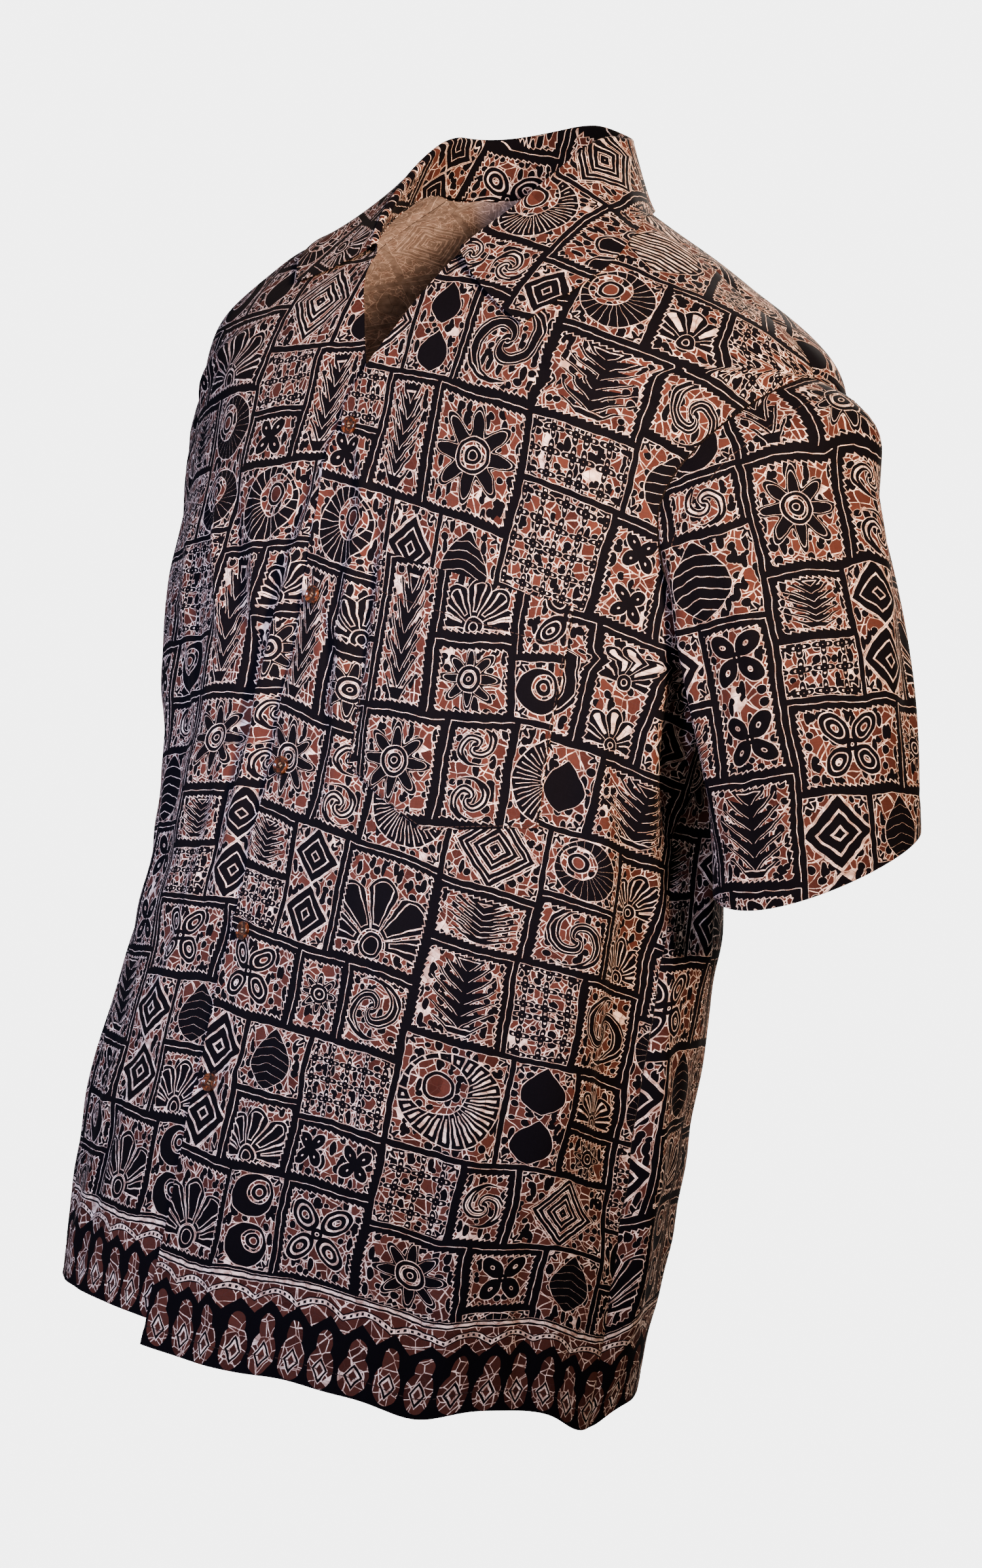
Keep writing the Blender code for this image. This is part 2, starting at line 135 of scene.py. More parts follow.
def turned(degrees, middle):
    """How far an angle lies from another, in degrees, the short way round."""
    return (degrees - middle + 180) % 360 - 180


def hem_wave(angle, section):
    fade = np.clip(1 - section / HEM_WAVE_SECTIONS, 0, 1) ** 2
    degrees = np.degrees(angle)
    return fade * sum(depth * np.exp(-((turned(degrees, at) / width) ** 2)) for at, width, depth in HEM_WAVES)


def body_base(angle, section):
    """A point of the body before its folds. The angle runs from the centre front over the wearer's left."""
    half, front_y, middle_y, back_y, front_z, side_z, back_z, square = np.moveaxis(
        smooth_rows(BODY, section), -1, 0
    )
    in_front = np.cos(angle) > 0
    depth = np.where(in_front, middle_y - front_y, back_y - middle_y)
    end_z = np.where(in_front, front_z, back_z)
    across, along = np.abs(np.sin(angle)) / half, np.abs(np.cos(angle)) / depth
    radius = (across**square + along**square) ** (-1 / square)
    height = side_z + (end_z - side_z) * np.cos(angle) ** 2 - hem_wave(angle, section)
    return np.stack([radius * np.sin(angle), middle_y - radius * np.cos(angle), height], axis=-1)


def smooth_step(low, high, value):
    """0 before low and 1 past high, with a smooth rise between. Low may be the higher number."""
    u = np.clip((value - low) / (high - low), 0, 1)
    return u * u * (3 - 2 * u)


print("The body has", len(BODY), "cuts, from", BODY[0][4], "m at the hem to", BODY[-1][6], "m at the neck")

# %% [markdown]
# ## The folds and creases
#
# Two kinds of fold show on a hanging shirt. The long soft ones come from the cut and the body below, and are
# in the CAD model as well. The short ones are creases: from the armhole down the side, fanning from the points
# where the cloth is pulled, and crossing the chest. Each is a ridge with a trough beside it along a bowed
# line, widest in its middle and fading out at its ends. The unseen side gets creases of the same kinds.

# %% The large folds, as in the CAD model, and the creases
# top_angle, foot_angle, top_z, foot_z, width, height
FOLDS = (
    (-64, -62, -0.17, -0.42, 19, 0.010),
    (-62, -62, -0.010, -0.105, 14, 0.007),
    (38, 36, -0.20, -0.42, 6, 0.003),
    (74, 70, -0.22, -0.64, 6, 0.008),
    (87, 82, -0.30, -0.62, 6, -0.007),
    (52, 56, -0.50, -0.80, 8, 0.004),
    (20, 24, -0.56, -0.80, 8, -0.003),
    (100, 96, -0.32, -0.76, 7, 0.005),
    (-34, -30, -0.18, -0.48, 6, 0.004),
    (-45, -40, -0.20, -0.50, 5, -0.004),
    (-64, -64, -0.30, -0.58, 12, -0.007),
    (-66, -58, -0.44, -0.80, 9, 0.007),
    (-86, -82, -0.32, -0.66, 6, -0.005),
    (-36, -38, -0.52, -0.80, 8, 0.003),
    (122, 118, -0.28, -0.70, 8, 0.005),
    (140, 142, -0.30, -0.70, 8, -0.005),
    (158, 162, -0.36, -0.80, 8, 0.006),
    (-122, -116, -0.28, -0.78, 8, 0.006),
    (-142, -146, -0.30, -0.72, 8, -0.005),
    (-166, -168, -0.40, -0.80, 8, 0.005),
)
# angle, z, end_angle, end_z, bow, width_mm, height_mm
CREASES = (
    # from the wearer's left armhole down the side
    (73, -0.250, 90, -0.456, 0.010, 8, 7.5),
    (77, -0.285, 92, -0.400, 0.006, 6, -5.9),
    (88, -0.395, 96, -0.721, -0.006, 9, 5.9),
    (80, -0.410, 87, -0.640, 0.004, 8, -4.1),
    (68, -0.300, 76, -0.440, 0.006, 7, 3.9),
    (98, -0.330, 108, -0.520, 0.006, 8, 4.1),
    # fanning from the pull above the pocket
    (55, -0.133, 42, -0.094, 0.002, 5, 3.1),
    (55, -0.133, 83, -0.097, 0.003, 6, 3.5),
    (55, -0.136, 74, -0.165, -0.003, 5, 3.0),
    (54, -0.140, 60, -0.230, 0.002, 6, 2.7),
    (53, -0.140, 47, -0.225, -0.002, 6, 2.3),
    (62, -0.175, 79, -0.245, 0.004, 6, 3.1),
    # down the left front
    (43, -0.240, 52, -0.410, 0.003, 9, 3.5),
    (9, -0.159, 19, -0.425, 0.004, 8, 4.3),
    (14, -0.200, 24, -0.390, 0.004, 7, -3.1),
    (28, -0.420, 33, -0.700, -0.004, 9, 3.5),
    (57, -0.420, 61, -0.720, 0.004, 9, 3.5),
    (44, -0.560, 47, -0.742, 0.003, 9, 4.3),
    (70, -0.600, 74, -0.742, 0.003, 9, -3.5),
    (3, -0.440, 10, -0.700, 0.003, 8, 2.3),
    # across the right front
    (-43, -0.197, -27, -0.314, 0.004, 6, 4.4),
    (-28, -0.197, -14, -0.312, 0.004, 6, 4.0),
    (-36, -0.200, -21, -0.300, 0.003, 5, -3.1),
    (-52, -0.230, -36, -0.370, 0.005, 7, 3.5),
    (-20, -0.330, -24, -0.560, -0.004, 8, 3.5),
    (-50, -0.400, -54, -0.640, 0.005, 8, -3.9),
    (-62, -0.440, -58, -0.744, 0.003, 9, 4.4),
    (-44, -0.500, -46, -0.735, 0.003, 8, 3.1),
    (-30, -0.560, -33, -0.740, -0.003, 8, -2.7),
    (-72, -0.240, -84, -0.420, 0.006, 8, 4.9),
    (-90, -0.340, -96, -0.680, 0.006, 8, 4.7),
    (-40, -0.095, -66, -0.150, 0.004, 6, 3.1),
    # the back
    (112, -0.200, 104, -0.420, 0.006, 8, 4.3),
    (132, -0.180, 150, -0.420, 0.006, 10, 4.3),
    (150, -0.150, 128, -0.360, -0.006, 10, 3.5),
    (170, -0.250, 165, -0.560, 0.004, 10, 3.9),
    (188, -0.200, 194, -0.480, 0.004, 10, 3.9),
    (-112, -0.200, -104, -0.430, 0.006, 8, 4.0),
    (-134, -0.190, -152, -0.400, 0.006, 10, 3.9),
    (136, -0.480, 132, -0.720, 0.004, 9, 3.9),
    (-128, -0.460, -124, -0.720, 0.004, 9, 3.9),
    (176, -0.520, 180, -0.720, 0.004, 9, -3.5),
    # small puckers where the buttons hold the two fronts together
    (3, -0.160, 12, -0.215, 0.002, 5, 2.2),
    (3, -0.268, 13, -0.300, 0.002, 5, 2.0),
    (3, -0.276, 11, -0.330, -0.002, 5, -1.8),
    (3, -0.376, 13, -0.352, 0.002, 5, 2.0),
    (3, -0.480, 12, -0.530, 0.002, 5, 2.2),
    (3, -0.576, 12, -0.556, 0.002, 5, 1.8),
    (-4, -0.268, -15, -0.238, 0.002, 5, 2.4),
    (-4, -0.378, -14, -0.400, 0.002, 5, 2.2),
    (-4, -0.482, -15, -0.452, 0.002, 5, 2.2),
    # the long folds that hang from the top button and from the pull over the chest
    (-5, -0.175, -13, -0.470, 0.006, 8, 6.5),
    (-12, -0.200, -19, -0.420, 0.004, 7, -4.5),
    (16, -0.560, 14, -0.744, 0.004, 10, 5.0),
    (36, -0.440, 40, -0.744, -0.004, 10, 5.5),
    (52, -0.470, 54, -0.744, 0.004, 9, -4.5),
)
METRES_A_DEGREE = 0.0031
RIPPLES = 26
random = np.random.default_rng(7)
ripple_waves = random.uniform(0.035, 0.090, RIPPLES)
ripple_turns = random.uniform(0, pi, RIPPLES)
ripple_phases = random.uniform(0, 2 * pi, RIPPLES)


def fold_height(angle, height):
    """How far the large folds move the cloth out at an angle and a height."""
    out = np.zeros_like(angle)
    for top_angle, foot_angle, top_z, foot_z, width, size in FOLDS:
        down = np.clip((top_z - height) / (top_z - foot_z), 0, 1)
        middle = np.radians(top_angle + (foot_angle - top_angle) * down)
        off = (angle - middle + pi) % (2 * pi) - pi
        fade_in = smooth_step(0, 0.5, (top_z - height) / (top_z - foot_z))
        fade_out = smooth_step(foot_z - 0.04, foot_z + 0.09, height)
        out += size * np.exp(-((off / radians(width)) ** 2)) * fade_in * fade_out
    return out


def ridge(x, y, end_x, end_y, bow, width, size):
    """A ridge from the origin to an end, on a line that bows to one side, with a trough beside it."""
    length = np.hypot(end_x, end_y)
    along = (x * end_x + y * end_y) / length**2
    beside = (x * end_y - y * end_x) / length - bow * np.sin(pi * np.clip(along, 0, 1))
    beyond = length * (np.clip(-along, 0, None) + np.clip(along - 1, 0, None))
    taper = np.sin(pi * np.clip(along, 0.03, 0.97)) ** 0.7
    near = np.exp(-((beyond / (0.6 * width)) ** 2)) * taper
    top = np.exp(-((beside / width) ** 2))
    trough = np.exp(-(((np.abs(beside) - 1.9 * width) / (1.1 * width)) ** 2))
    return size * near * (top - 0.30 * trough)


def crease_height(angle, height):
    """How far the creases and the small unevenness of the cloth move it out."""
    degrees = np.degrees(angle)
    out = np.zeros_like(degrees)
    for first, first_z, last, last_z, bow, width, size in CREASES:
        x = turned(degrees, first) * METRES_A_DEGREE
        end_x = (last - first) * METRES_A_DEGREE
        out += ridge(x, height - first_z, end_x, last_z - first_z, bow, width / 1000, size / 1000)
    x = np.radians(turned(degrees, 0)) * 0.18
    for wave, turn, phase in zip(ripple_waves, ripple_turns, ripple_phases):
        out += 0.00016 * np.sin(2 * pi * (x * cos(turn) + height * sin(turn)) / wave + phase)
    return out


def surface_and_normal(shape, angle, section, step=1e-3):
    """A point of a shape and the direction that points out of it there."""
    point = shape(angle, section)
    round_it = shape(angle + step, section) - shape(angle - step, section)
    low = np.clip(section - step, 0, NECK)
    high = np.clip(section + step, 0, NECK)
    up_it = shape(angle, high) - shape(angle, low)
    normal = np.cross(round_it, up_it)
    return point, normal / np.linalg.norm(normal, axis=-1, keepdims=True)


def body(angle, section, out=0.0):
    """A point of the shirt's outside with its folds and creases, moved out by a distance."""
    angle, section = np.broadcast_arrays(np.asarray(angle, float), np.asarray(section, float))
    point, normal = surface_and_normal(body_base, angle, section)
    high = point[..., 2]
    return point + normal * (fold_height(angle, high) + crease_height(angle, high) + out)[..., None]


def section_at(angle, height):
    """The section whose cloth is at this height, for an angle and a height below the shoulder."""
    low, high = np.zeros_like(height), np.full_like(height, NECK)
    for _ in range(30):
        middle = (low + high) / 2
        below = body_base(angle, middle)[..., 2] < height
        low, high = np.where(below, middle, low), np.where(below, high, middle)
    return (low + high) / 2


print("The body has", len(FOLDS), "large folds and", len(CREASES), "creases")

# %% [markdown]
# ## The panels
#
# The fronts and the back are cut from the armholes, the side seams and the opening at the throat. Their rows
# follow the cuts of the body and their columns bend near the armhole. At every seam the cloth dips a little,
# because the seam allowance inside holds it down, and along the hem it is double, so the hem stands out by a
# thread's thickness below its stitching.

# %% The grids of the fronts, the back and the armholes
HEM_DEPTH = 0.012
SEAM_DIP, SEAM_DIP_REACH = 0.0009, 0.0035


def body_rows():
    rows = [k + step / count for k, count in enumerate(ROW_SECTIONS) for step in range(count)]
    return np.array([*rows, NECK])


def armhole_angle(section, cut):
    share = np.clip((section - UNDERARM) / (SHOULDER - UNDERARM), 0, 1)
    return cut * np.sin(pi * share) ** ARMHOLE_SHAPE


def front_edge_angle(section):
    """The angle of the front edge: past the centre line below the opening, and away from it above."""
    centre = body_base(np.zeros_like(section), section)
    middle_y = smooth_rows(BODY, section)[..., 2]
    past = -OVERLAP / (middle_y - centre[..., 1])
    opened = smooth_step(OPENING_BOTTOM, NECK + 1.2, section) / smooth_step(OPENING_BOTTOM, NECK + 1.2, NECK)
    return past + (OPENING_ANGLE - past) * np.clip(opened, 0, 1)


def row_gap(angle, section):
    """The angle that half a seam's gap takes up on the body."""
    point = body_base(angle, section)
    middle_y = smooth_rows(BODY, section)[..., 2]
    return SEAM / 2 / np.hypot(point[..., 0], point[..., 1] - middle_y)


def hem_fold(depth, hem=HEM_DEPTH):
    """The step of a folded hem: a double thickness below its stitching, and the groove of the stitching."""
    groove = np.exp(-(((depth - hem) / 0.0022) ** 2))
    return 0.0003 * smooth_step(0.001, -0.001, depth - hem) - 0.0004 * groove


def seam_dip(distance):
    return -SEAM_DIP * np.exp(-((distance / SEAM_DIP_REACH) ** 2))


def steps_along(grid, axis):
    """How far along its row or column each point of a grid lies, in metres."""
    step = np.linalg.norm(np.diff(grid, axis=axis), axis=-1)
    start = np.zeros_like(np.take(step, [0], axis=axis))
    return np.concatenate([start, np.cumsum(step, axis=axis)], axis=axis)


def panel(angle, section, sunk=0.0, seams=(True, True)):
    """A panel of the body: its grid of points, dipped at its seams and folded at its hem."""
    flat = body_base(angle, section)
    across = steps_along(flat, 1)
    up_it = steps_along(flat, 0)
    out = hem_fold(up_it) - sunk
    if seams[0]:
        out = out + seam_dip(across)
    if seams[1]:
        out = out + seam_dip(across[:, -1:] - across)
    return body(angle, section, out)


def front_grid(side):
    """One front, from its front edge to its side seam. side is 1 for the wearer's left."""
    rows = body_rows()
    edge = front_edge_angle(rows)
    cut = armhole_angle(rows, ARMHOLE_FRONT)
    cut = cut + row_gap(pi / 2 - cut, rows)
    share = np.linspace(0, 1, FRONT_FACES + 1)
    angle = side * (edge[:, None] + (pi / 2 - edge)[:, None] * share - cut[:, None] * share**ARMHOLE_REACH)
    section = rows[:, None] + np.zeros_like(angle)
    if side > 0:
        return panel(angle, section, seams=(False, True))
    section += (UNDER_HEM_RISE * np.clip(1 - section, 0, 1)) * (1 - share**3)
    angle, section = angle[:, ::-1], section[:, ::-1]
    return panel(angle, section, LAP * smooth_step(LAP_START, LAP_END, angle), (True, False))


def back_grid():
    rows = body_rows()
    cut = armhole_angle(rows, ARMHOLE_BACK)
    cut = cut + row_gap(pi / 2 + cut, rows)
    share = np.linspace(-1, 1, BACK_FACES + 1)
    angle = pi + share * pi / 2 - cut[:, None] * np.sign(share) * np.abs(share) ** ARMHOLE_REACH
    return panel(angle, rows[:, None] + np.zeros_like(angle))


panels = {"left_front": front_grid(1), "right_front": front_grid(-1), "back": back_grid()}
print({name: grid.shape for name, grid in panels.items()})

# %% [markdown]
# ## The sleeves
#
# A set-in sleeve is one cut piece, closed under the arm, whose head is a little longer than the armhole, so it
# is eased in and puckers slightly at the top. Each line of the grid leaves the armhole along the slope of the
# shoulder, turns down over the arm and hangs to the cuff. The soft folds run down the sleeve and round its
# back.

# %% The grids of the sleeves
CUFF_CENTRES = {1: (0.297, 0.022, -0.394), -1: (-0.278, 0.122, -0.394)}
CUFF_RADIUS = (0.056, 0.064)
ARM_LEAN = radians(9)
CUFF_DIP, CUFF_TILT = 0.031, 0.002
CUFF_LIFT = 0.016
SLEEVE_ROWS = 64
SLEEVE_TOP_SLOPE, SLEEVE_UNDER_SLOPE = radians(42), radians(62)
SLEEVE_TOP_PULL, SLEEVE_UNDER_PULL = 0.20, 0.08
SLEEVE_CUFF_PULL = 0.16
SLEEVE_FULLNESS = {1: 0.014, -1: 0.003}
FULLNESS_PLACE = 0.12
SLEEVE_HEM = 0.022
METRES_A_TURN = 0.0011  # along the cuff, for each degree of turn
CREASE_REACH = 0.24  # a sleeve's length, for the creases
GATHER_DEPTH = 0.0011
# turn, place, end_turn, end_place, bow, width_mm, height_mm
SLEEVE_CREASES = (
    (20, 0.10, 34, 0.95, 0.06, 8, 3.3),
    (52, 0.12, 66, 0.80, 0.05, 8, 2.7),
    (-8, 0.20, 10, 0.98, 0.05, 8, -3.0),
    (-42, 0.08, -20, 0.80, 0.05, 9, 3.9),
    (-66, 0.05, -52, 0.60, 0.05, 8, 3.3),
    (96, 0.10, 84, 0.90, 0.05, 9, 2.4),
    (128, 0.10, 118, 0.95, 0.05, 9, 3.6),
    (165, 0.10, 150, 0.90, 0.05, 9, -3.3),
    (196, 0.06, 186, 0.75, 0.05, 9, 3.9),
    (232, 0.05, 222, 0.70, 0.05, 9, 3.6),
    (36, 0.55, 60, 0.98, 0.05, 7, 2.2),
)


def armhole_ring(side):
    """One armhole's edge, from the underarm up the front, over the shoulder and down the back."""
    rows = body_rows()
    rows = rows[(rows >= UNDERARM) & (rows <= SHOULDER)]
    front = body(side * (pi / 2 - armhole_angle(rows, ARMHOLE_FRONT)), rows)
    back = body(side * (pi / 2 + armhole_angle(rows, ARMHOLE_BACK)), rows)
    turn = np.linspace(-pi / 2, pi / 2, len(rows))
    ring = np.concatenate([front, back[-2:0:-1]])
    return ring, np.concatenate([turn, pi - turn[-2:0:-1]])


def cuff_ring(side, turn):
    """Points of a cuff. The turn is -90 degrees at the underarm, 0 in front and 90 on the outside."""
    rise = np.sin(turn)[:, None] * np.array([side * CUFF_RADIUS[0] * cos(ARM_LEAN), 0, -CUFF_TILT])
    forward = np.cos(turn)[:, None] * np.array([0, -CUFF_RADIUS[1], -CUFF_DIP])
    lift = ((1 + np.sin(turn[:, None])) / 2) ** 2 * np.array([0, 0, CUFF_LIFT])
    return np.array(CUFF_CENTRES[side]) + rise + forward + lift


def grid_normals(grid, closed=False):
    padded = np.concatenate([grid[:, -1:], grid, grid[:, :1]], axis=1) if closed else grid
    along = np.gradient(padded, axis=1)
    along = along[:, 1:-1] if closed else along
    normal = np.cross(along, np.gradient(grid, axis=0))
    return normal / np.linalg.norm(normal, axis=-1, keepdims=True)


def sleeve_grid(side):
    """A sleeve, from the armhole to the cuff or back up, so that it faces out on either side."""
    start, turn = armhole_ring(side)
    end = cuff_ring(side, turn)
    top = (1 + np.sin(turn)) / 2
    slope = SLEEVE_UNDER_SLOPE + (SLEEVE_TOP_SLOPE - SLEEVE_UNDER_SLOPE) * top
    pull = SLEEVE_UNDER_PULL + (SLEEVE_TOP_PULL - SLEEVE_UNDER_PULL) * top
    leave = np.stack([side * np.cos(slope), np.zeros_like(slope), -np.sin(slope)], -1)
    arrive = np.array([side * sin(ARM_LEAN), 0, -cos(ARM_LEAN)])
    start = start + leave * SEAM
    u = np.linspace(0, 1, SLEEVE_ROWS + 1)[:, None, None]
    outer = (
        (2 * u**3 - 3 * u**2 + 1) * start
        + (u**3 - 2 * u**2 + u) * leave * pull[:, None]
        + (3 * u**2 - 2 * u**3) * end
        + (u**3 - u**2) * arrive * SLEEVE_CUFF_PULL
    )
    outward = np.array([side * cos(ARM_LEAN), 0, sin(ARM_LEAN)])
    ease = SLEEVE_FULLNESS[side] * np.exp(-(((u - FULLNESS_PLACE) / (0.7 * FULLNESS_PLACE)) ** 2))
    outer = outer + ease * u.clip(0, 0.05) / 0.05 * (top**2)[:, None] * outward
    down = steps_along(outer, 0)
    share = down / down[-1:]
    out = seam_dip(down) + hem_fold(down[-1:] - down, SLEEVE_HEM)
    degrees = np.degrees(turn)[None] + np.zeros_like(share)
    for first, place, last, end_place, bow, width, size in SLEEVE_CREASES:
        x, end_x = turned(degrees, first) * METRES_A_TURN, (last - first) * METRES_A_TURN
        y, end_y = (share - place) * CREASE_REACH, (end_place - place) * CREASE_REACH
        out = out + ridge(x, y, end_x, end_y, bow * 0.1, width / 1000, size / 1000)
    gathers = np.exp(-(((share - 0.045) / 0.045) ** 2)) * top**1.5
    puckers = np.sin(degrees / 4.1 + 1.5 * np.sin(degrees / 9))
    out = out + GATHER_DEPTH * gathers * puckers * smooth_step(0, 0.02, share)
    outer, out = outer[::-side], out[::-side]
    return outer + grid_normals(outer, closed=True) * out[..., None]


panels["left_sleeve"], panels["right_sleeve"] = sleeve_grid(1), sleeve_grid(-1)
print("A cuff is", round(2000 * CUFF_RADIUS[0]), "by", round(2000 * CUFF_RADIUS[1]), "mm")

# %% [markdown]
# ## The pocket and the collar
#
# The patch pocket is read from the same body as the front below it, moved out by the folded edge's thickness,
# so that it takes the front's folds and never cuts into it. The collar is one piece too: it rises from the
# neckline as a stand, rolls over, and falls outside. Its two layers of cloth and lining make a rounder,
# smoother roll than a single layer has, so the roll is drawn as a half circle.

# %% The grids of the pocket and the collar
POCKET_SIDES = (radians(17.5), radians(58.8))
POCKET_TURN = radians(2.6)
POCKET_TOP, POCKET_CORNER, POCKET_POINT = -0.2475, -0.3815, -0.403
POCKET_DROP = 0.020
POCKET_OUT = 0.0020
POCKET_HEM = 0.025
# seam_angle, rise, lean, edge_angle, edge_section
COLLAR = (
    (22, 0.002, 0.000, 43, 6.68),
    (31, 0.012, 0.003, 51, 6.86),
    (48, 0.025, 0.008, 62, 7.14),
    (70, 0.034, 0.012, 76, 7.52),
    (95, 0.037, 0.013, 95, 7.80),
    (125, 0.038, 0.011, 122, 7.87),
    (155, 0.037, 0.008, 153, 7.89),
    (180, 0.037, 0.006, 180, 7.89),
)
COLLAR_RISE = 0.42
COLLAR_ROLL = 0.0026
COLLAR_STAND_OFF = 0.0030
COLLAR_DROP = 1.6
COLLAR_FACES, STAND_FACES, ROLL_FACES, FALL_FACES = 76, 8, 6, 22


def pocket_grid():
    u = np.linspace(0, 1, 57)
    v = np.linspace(0, 1, 61)[:, None]
    foot = POCKET_CORNER + (POCKET_POINT - POCKET_CORNER) * (1 - np.abs(2 * u - 1))
    height = foot + (POCKET_TOP - foot) * v - POCKET_DROP * (u - 0.5)
    angle = POCKET_SIDES[0] + (POCKET_SIDES[1] - POCKET_SIDES[0]) * u + POCKET_TURN * (1 - v)
    section = section_at(angle, height)
    flat = body_base(angle, section)
    across, up_it = steps_along(flat, 1), steps_along(flat, 0)
    edge = np.minimum(np.minimum(across, across[:, -1:] - across), up_it)
    below_top = up_it[-1:] - up_it
    sewn = -0.0005 * np.exp(-(((edge - 0.0015) / 0.0016) ** 2)) - 0.0009 * smooth_step(0.0012, 0, edge)
    slack = 0.0012 * smooth_step(0.02, 0, below_top) * np.sin(pi * across / across[:, -1:])
    return body(angle, section, POCKET_OUT + sewn + slack + hem_fold(below_top, POCKET_HEM))


def collar_half(side):
    """Half of the collar, from its front end to the centre back. A column runs from the seam over the fold."""
    place = np.linspace(0, len(COLLAR) - 1, COLLAR_FACES + 1)
    seam_angle, rise, lean, edge_angle, edge_section = smooth_rows(COLLAR, place).T
    if side < 0:
        edge_section = edge_section + COLLAR_RISE * (1 - place / place[-1]) ** 2
    seam_angle, edge_angle = side * np.radians(seam_angle), side * np.radians(edge_angle)
    share = np.linspace(0, 1, FALL_FACES + 1)[1:]
    middle = np.array([0, BODY[-1][2], 0])
    columns = []
    for k in range(len(place)):
        foot = body_base(seam_angle[k], NECK) + np.array([0, 0, SEAM])
        out = (foot - middle) * np.array([1, 1, 0])
        out = out / np.linalg.norm(out)
        top = foot + np.array([0, 0, rise[k]]) - out * lean[k]
        stand = [foot + (top - foot) * s for s in np.linspace(0, 1, STAND_FACES + 1)[:-1]]
        roll = [
            top + COLLAR_ROLL * (out * (1 - cos(turn)) + np.array([0, 0, sin(turn)]))
            for turn in np.linspace(0, pi, ROLL_FACES + 1)
        ]
        angle = seam_angle[k] + (edge_angle[k] - seam_angle[k]) * np.array([0, *share])
        section = NECK + (edge_section[k] - NECK) * np.array([0, *share])
        lying = body(angle, section, COLLAR_STAND_OFF)
        lift = top + out * 2 * COLLAR_ROLL - lying[0]
        columns.append([*stand, *roll, *lying[1:] + lift * ((1 - share) ** COLLAR_DROP)[:, None]])
    return np.array(columns)


panels["pocket"] = pocket_grid()
panels["collar"] = np.concatenate([collar_half(1), collar_half(-1)[-2::-1]])
print({name: panels[name].shape for name in ("pocket", "collar")})

# %% [markdown]
# ## The flat cut
#
# The print is on the cloth before it is cut, so it follows the grain of each flat piece and not the shape of
# the body. Unwrapping does the same thing backwards: it flattens a hung piece with as little stretch as it
# can. A coarse copy of each grid is unwrapped, scaled back to metres, turned so that its grain line is
# upright, and read by the fine grid. The result is a UV map in metres, which the print's real sizes can be
# given in.

# %% Flatten each piece
COARSE = 6
ACROSS_DROP = 0.15  # how far the chest's cross lines drop towards the side


def spread(values, count):
    """Values on a coarse line read at count places, with straight lines between them."""
    at = np.linspace(0, len(values) - 1, count)
    low = np.minimum(at.astype(int), len(values) - 2)
    share = (at - low).reshape(-1, *[1] * (values.ndim - 1))
    return values[low] * (1 - share) + values[low + 1] * share


def all_edges(grid):
    """The length of all the lines of a grid."""
    return sum(np.linalg.norm(np.diff(grid, axis=axis), axis=-1).sum() for axis in (0, 1))


def flat_cut(grid, grain, closed=False):
    """A flat place in metres for each point of the grid. Its origin is the foot of the column called grain."""
    if closed:
        grid = np.concatenate([grid, grid[:, :1]], axis=1)
    rows, columns = grid.shape[:2]
    coarse = spread(spread(grid, rows // COARSE).swapaxes(0, 1), columns // COARSE).swapaxes(0, 1)
    high, wide = coarse.shape[:2]
    mesh = bpy.data.meshes.new("flat")
    faces = [
        (i * wide + j, i * wide + j + 1, (i + 1) * wide + j + 1, (i + 1) * wide + j)
        for i in range(high - 1)
        for j in range(wide - 1)
    ]
    mesh.from_pydata(coarse.reshape(-1, 3).tolist(), [], faces)
    piece = bpy.data.objects.new("flat", mesh)
    bpy.context.scene.collection.objects.link(piece)
    bpy.ops.object.select_all(action="DESELECT")
    bpy.context.view_layer.objects.active = piece
    piece.select_set(True)
    mesh.uv_layers.new(name="flat_cut")
    bpy.ops.object.mode_set(mode="EDIT")
    bpy.ops.mesh.select_all(action="SELECT")
    bpy.ops.uv.unwrap(method="ANGLE_BASED", margin=0)
    bpy.ops.object.mode_set(mode="OBJECT")
    loops = np.empty(len(mesh.loops) * 2)
    mesh.uv_layers[0].data.foreach_get("uv", loops)
    owners = np.array([loop.vertex_index for loop in mesh.loops])
    flat = np.zeros((high * wide, 2))
    flat[owners] = loops.reshape(-1, 2)
    flat = flat.reshape(high, wide, 2)
    bpy.data.objects.remove(piece)
    bpy.data.meshes.remove(mesh)
    flat *= all_edges(coarse) / all_edges(flat)
    line = round(grain * (wide - 1))
    flat -= flat[0, line]
    upright = flat[high * 3 // 5, line] / np.linalg.norm(flat[high * 3 // 5, line])
    flat = flat @ np.array([[upright[1], upright[0]], [-upright[0], upright[1]]])
    if flat[high // 2, -1, 0] < flat[high // 2, 0, 0]:
        flat[..., 0] *= -1
    return spread(spread(flat, rows).swapaxes(0, 1), columns).swapaxes(0, 1)


def hem_level(flat, drop=0.0):
    """Lets the print's cross lines run along the hem at its foot, and drop to the side at the chest."""
    up_share = smooth_step(0.0, 0.40, flat[..., 1])
    levelled = flat.copy()
    levelled[..., 1] -= flat[:1, :, 1] * (1 - up_share) - drop * np.abs(flat[..., 0]) * up_share
    return levelled


cuts = {
    "left_front": hem_level(flat_cut(panels["left_front"], 0.0), ACROSS_DROP),
    "right_front": hem_level(flat_cut(panels["right_front"], 1.0), ACROSS_DROP),
    "back": hem_level(flat_cut(panels["back"], 0.5)),
    "left_sleeve": flat_cut(panels["left_sleeve"], 0.5, closed=True),
    "right_sleeve": -flat_cut(panels["right_sleeve"], 0.5, closed=True),
    "pocket": flat_cut(panels["pocket"], 0.5),
    "collar": flat_cut(panels["collar"], 0.4)[..., ::-1] * np.array([1, -1]),
}
for name, cut in cuts.items():
    print(name, "is cut from", np.round(np.ptp(cut.reshape(-1, 2), axis=0), 3), "m")

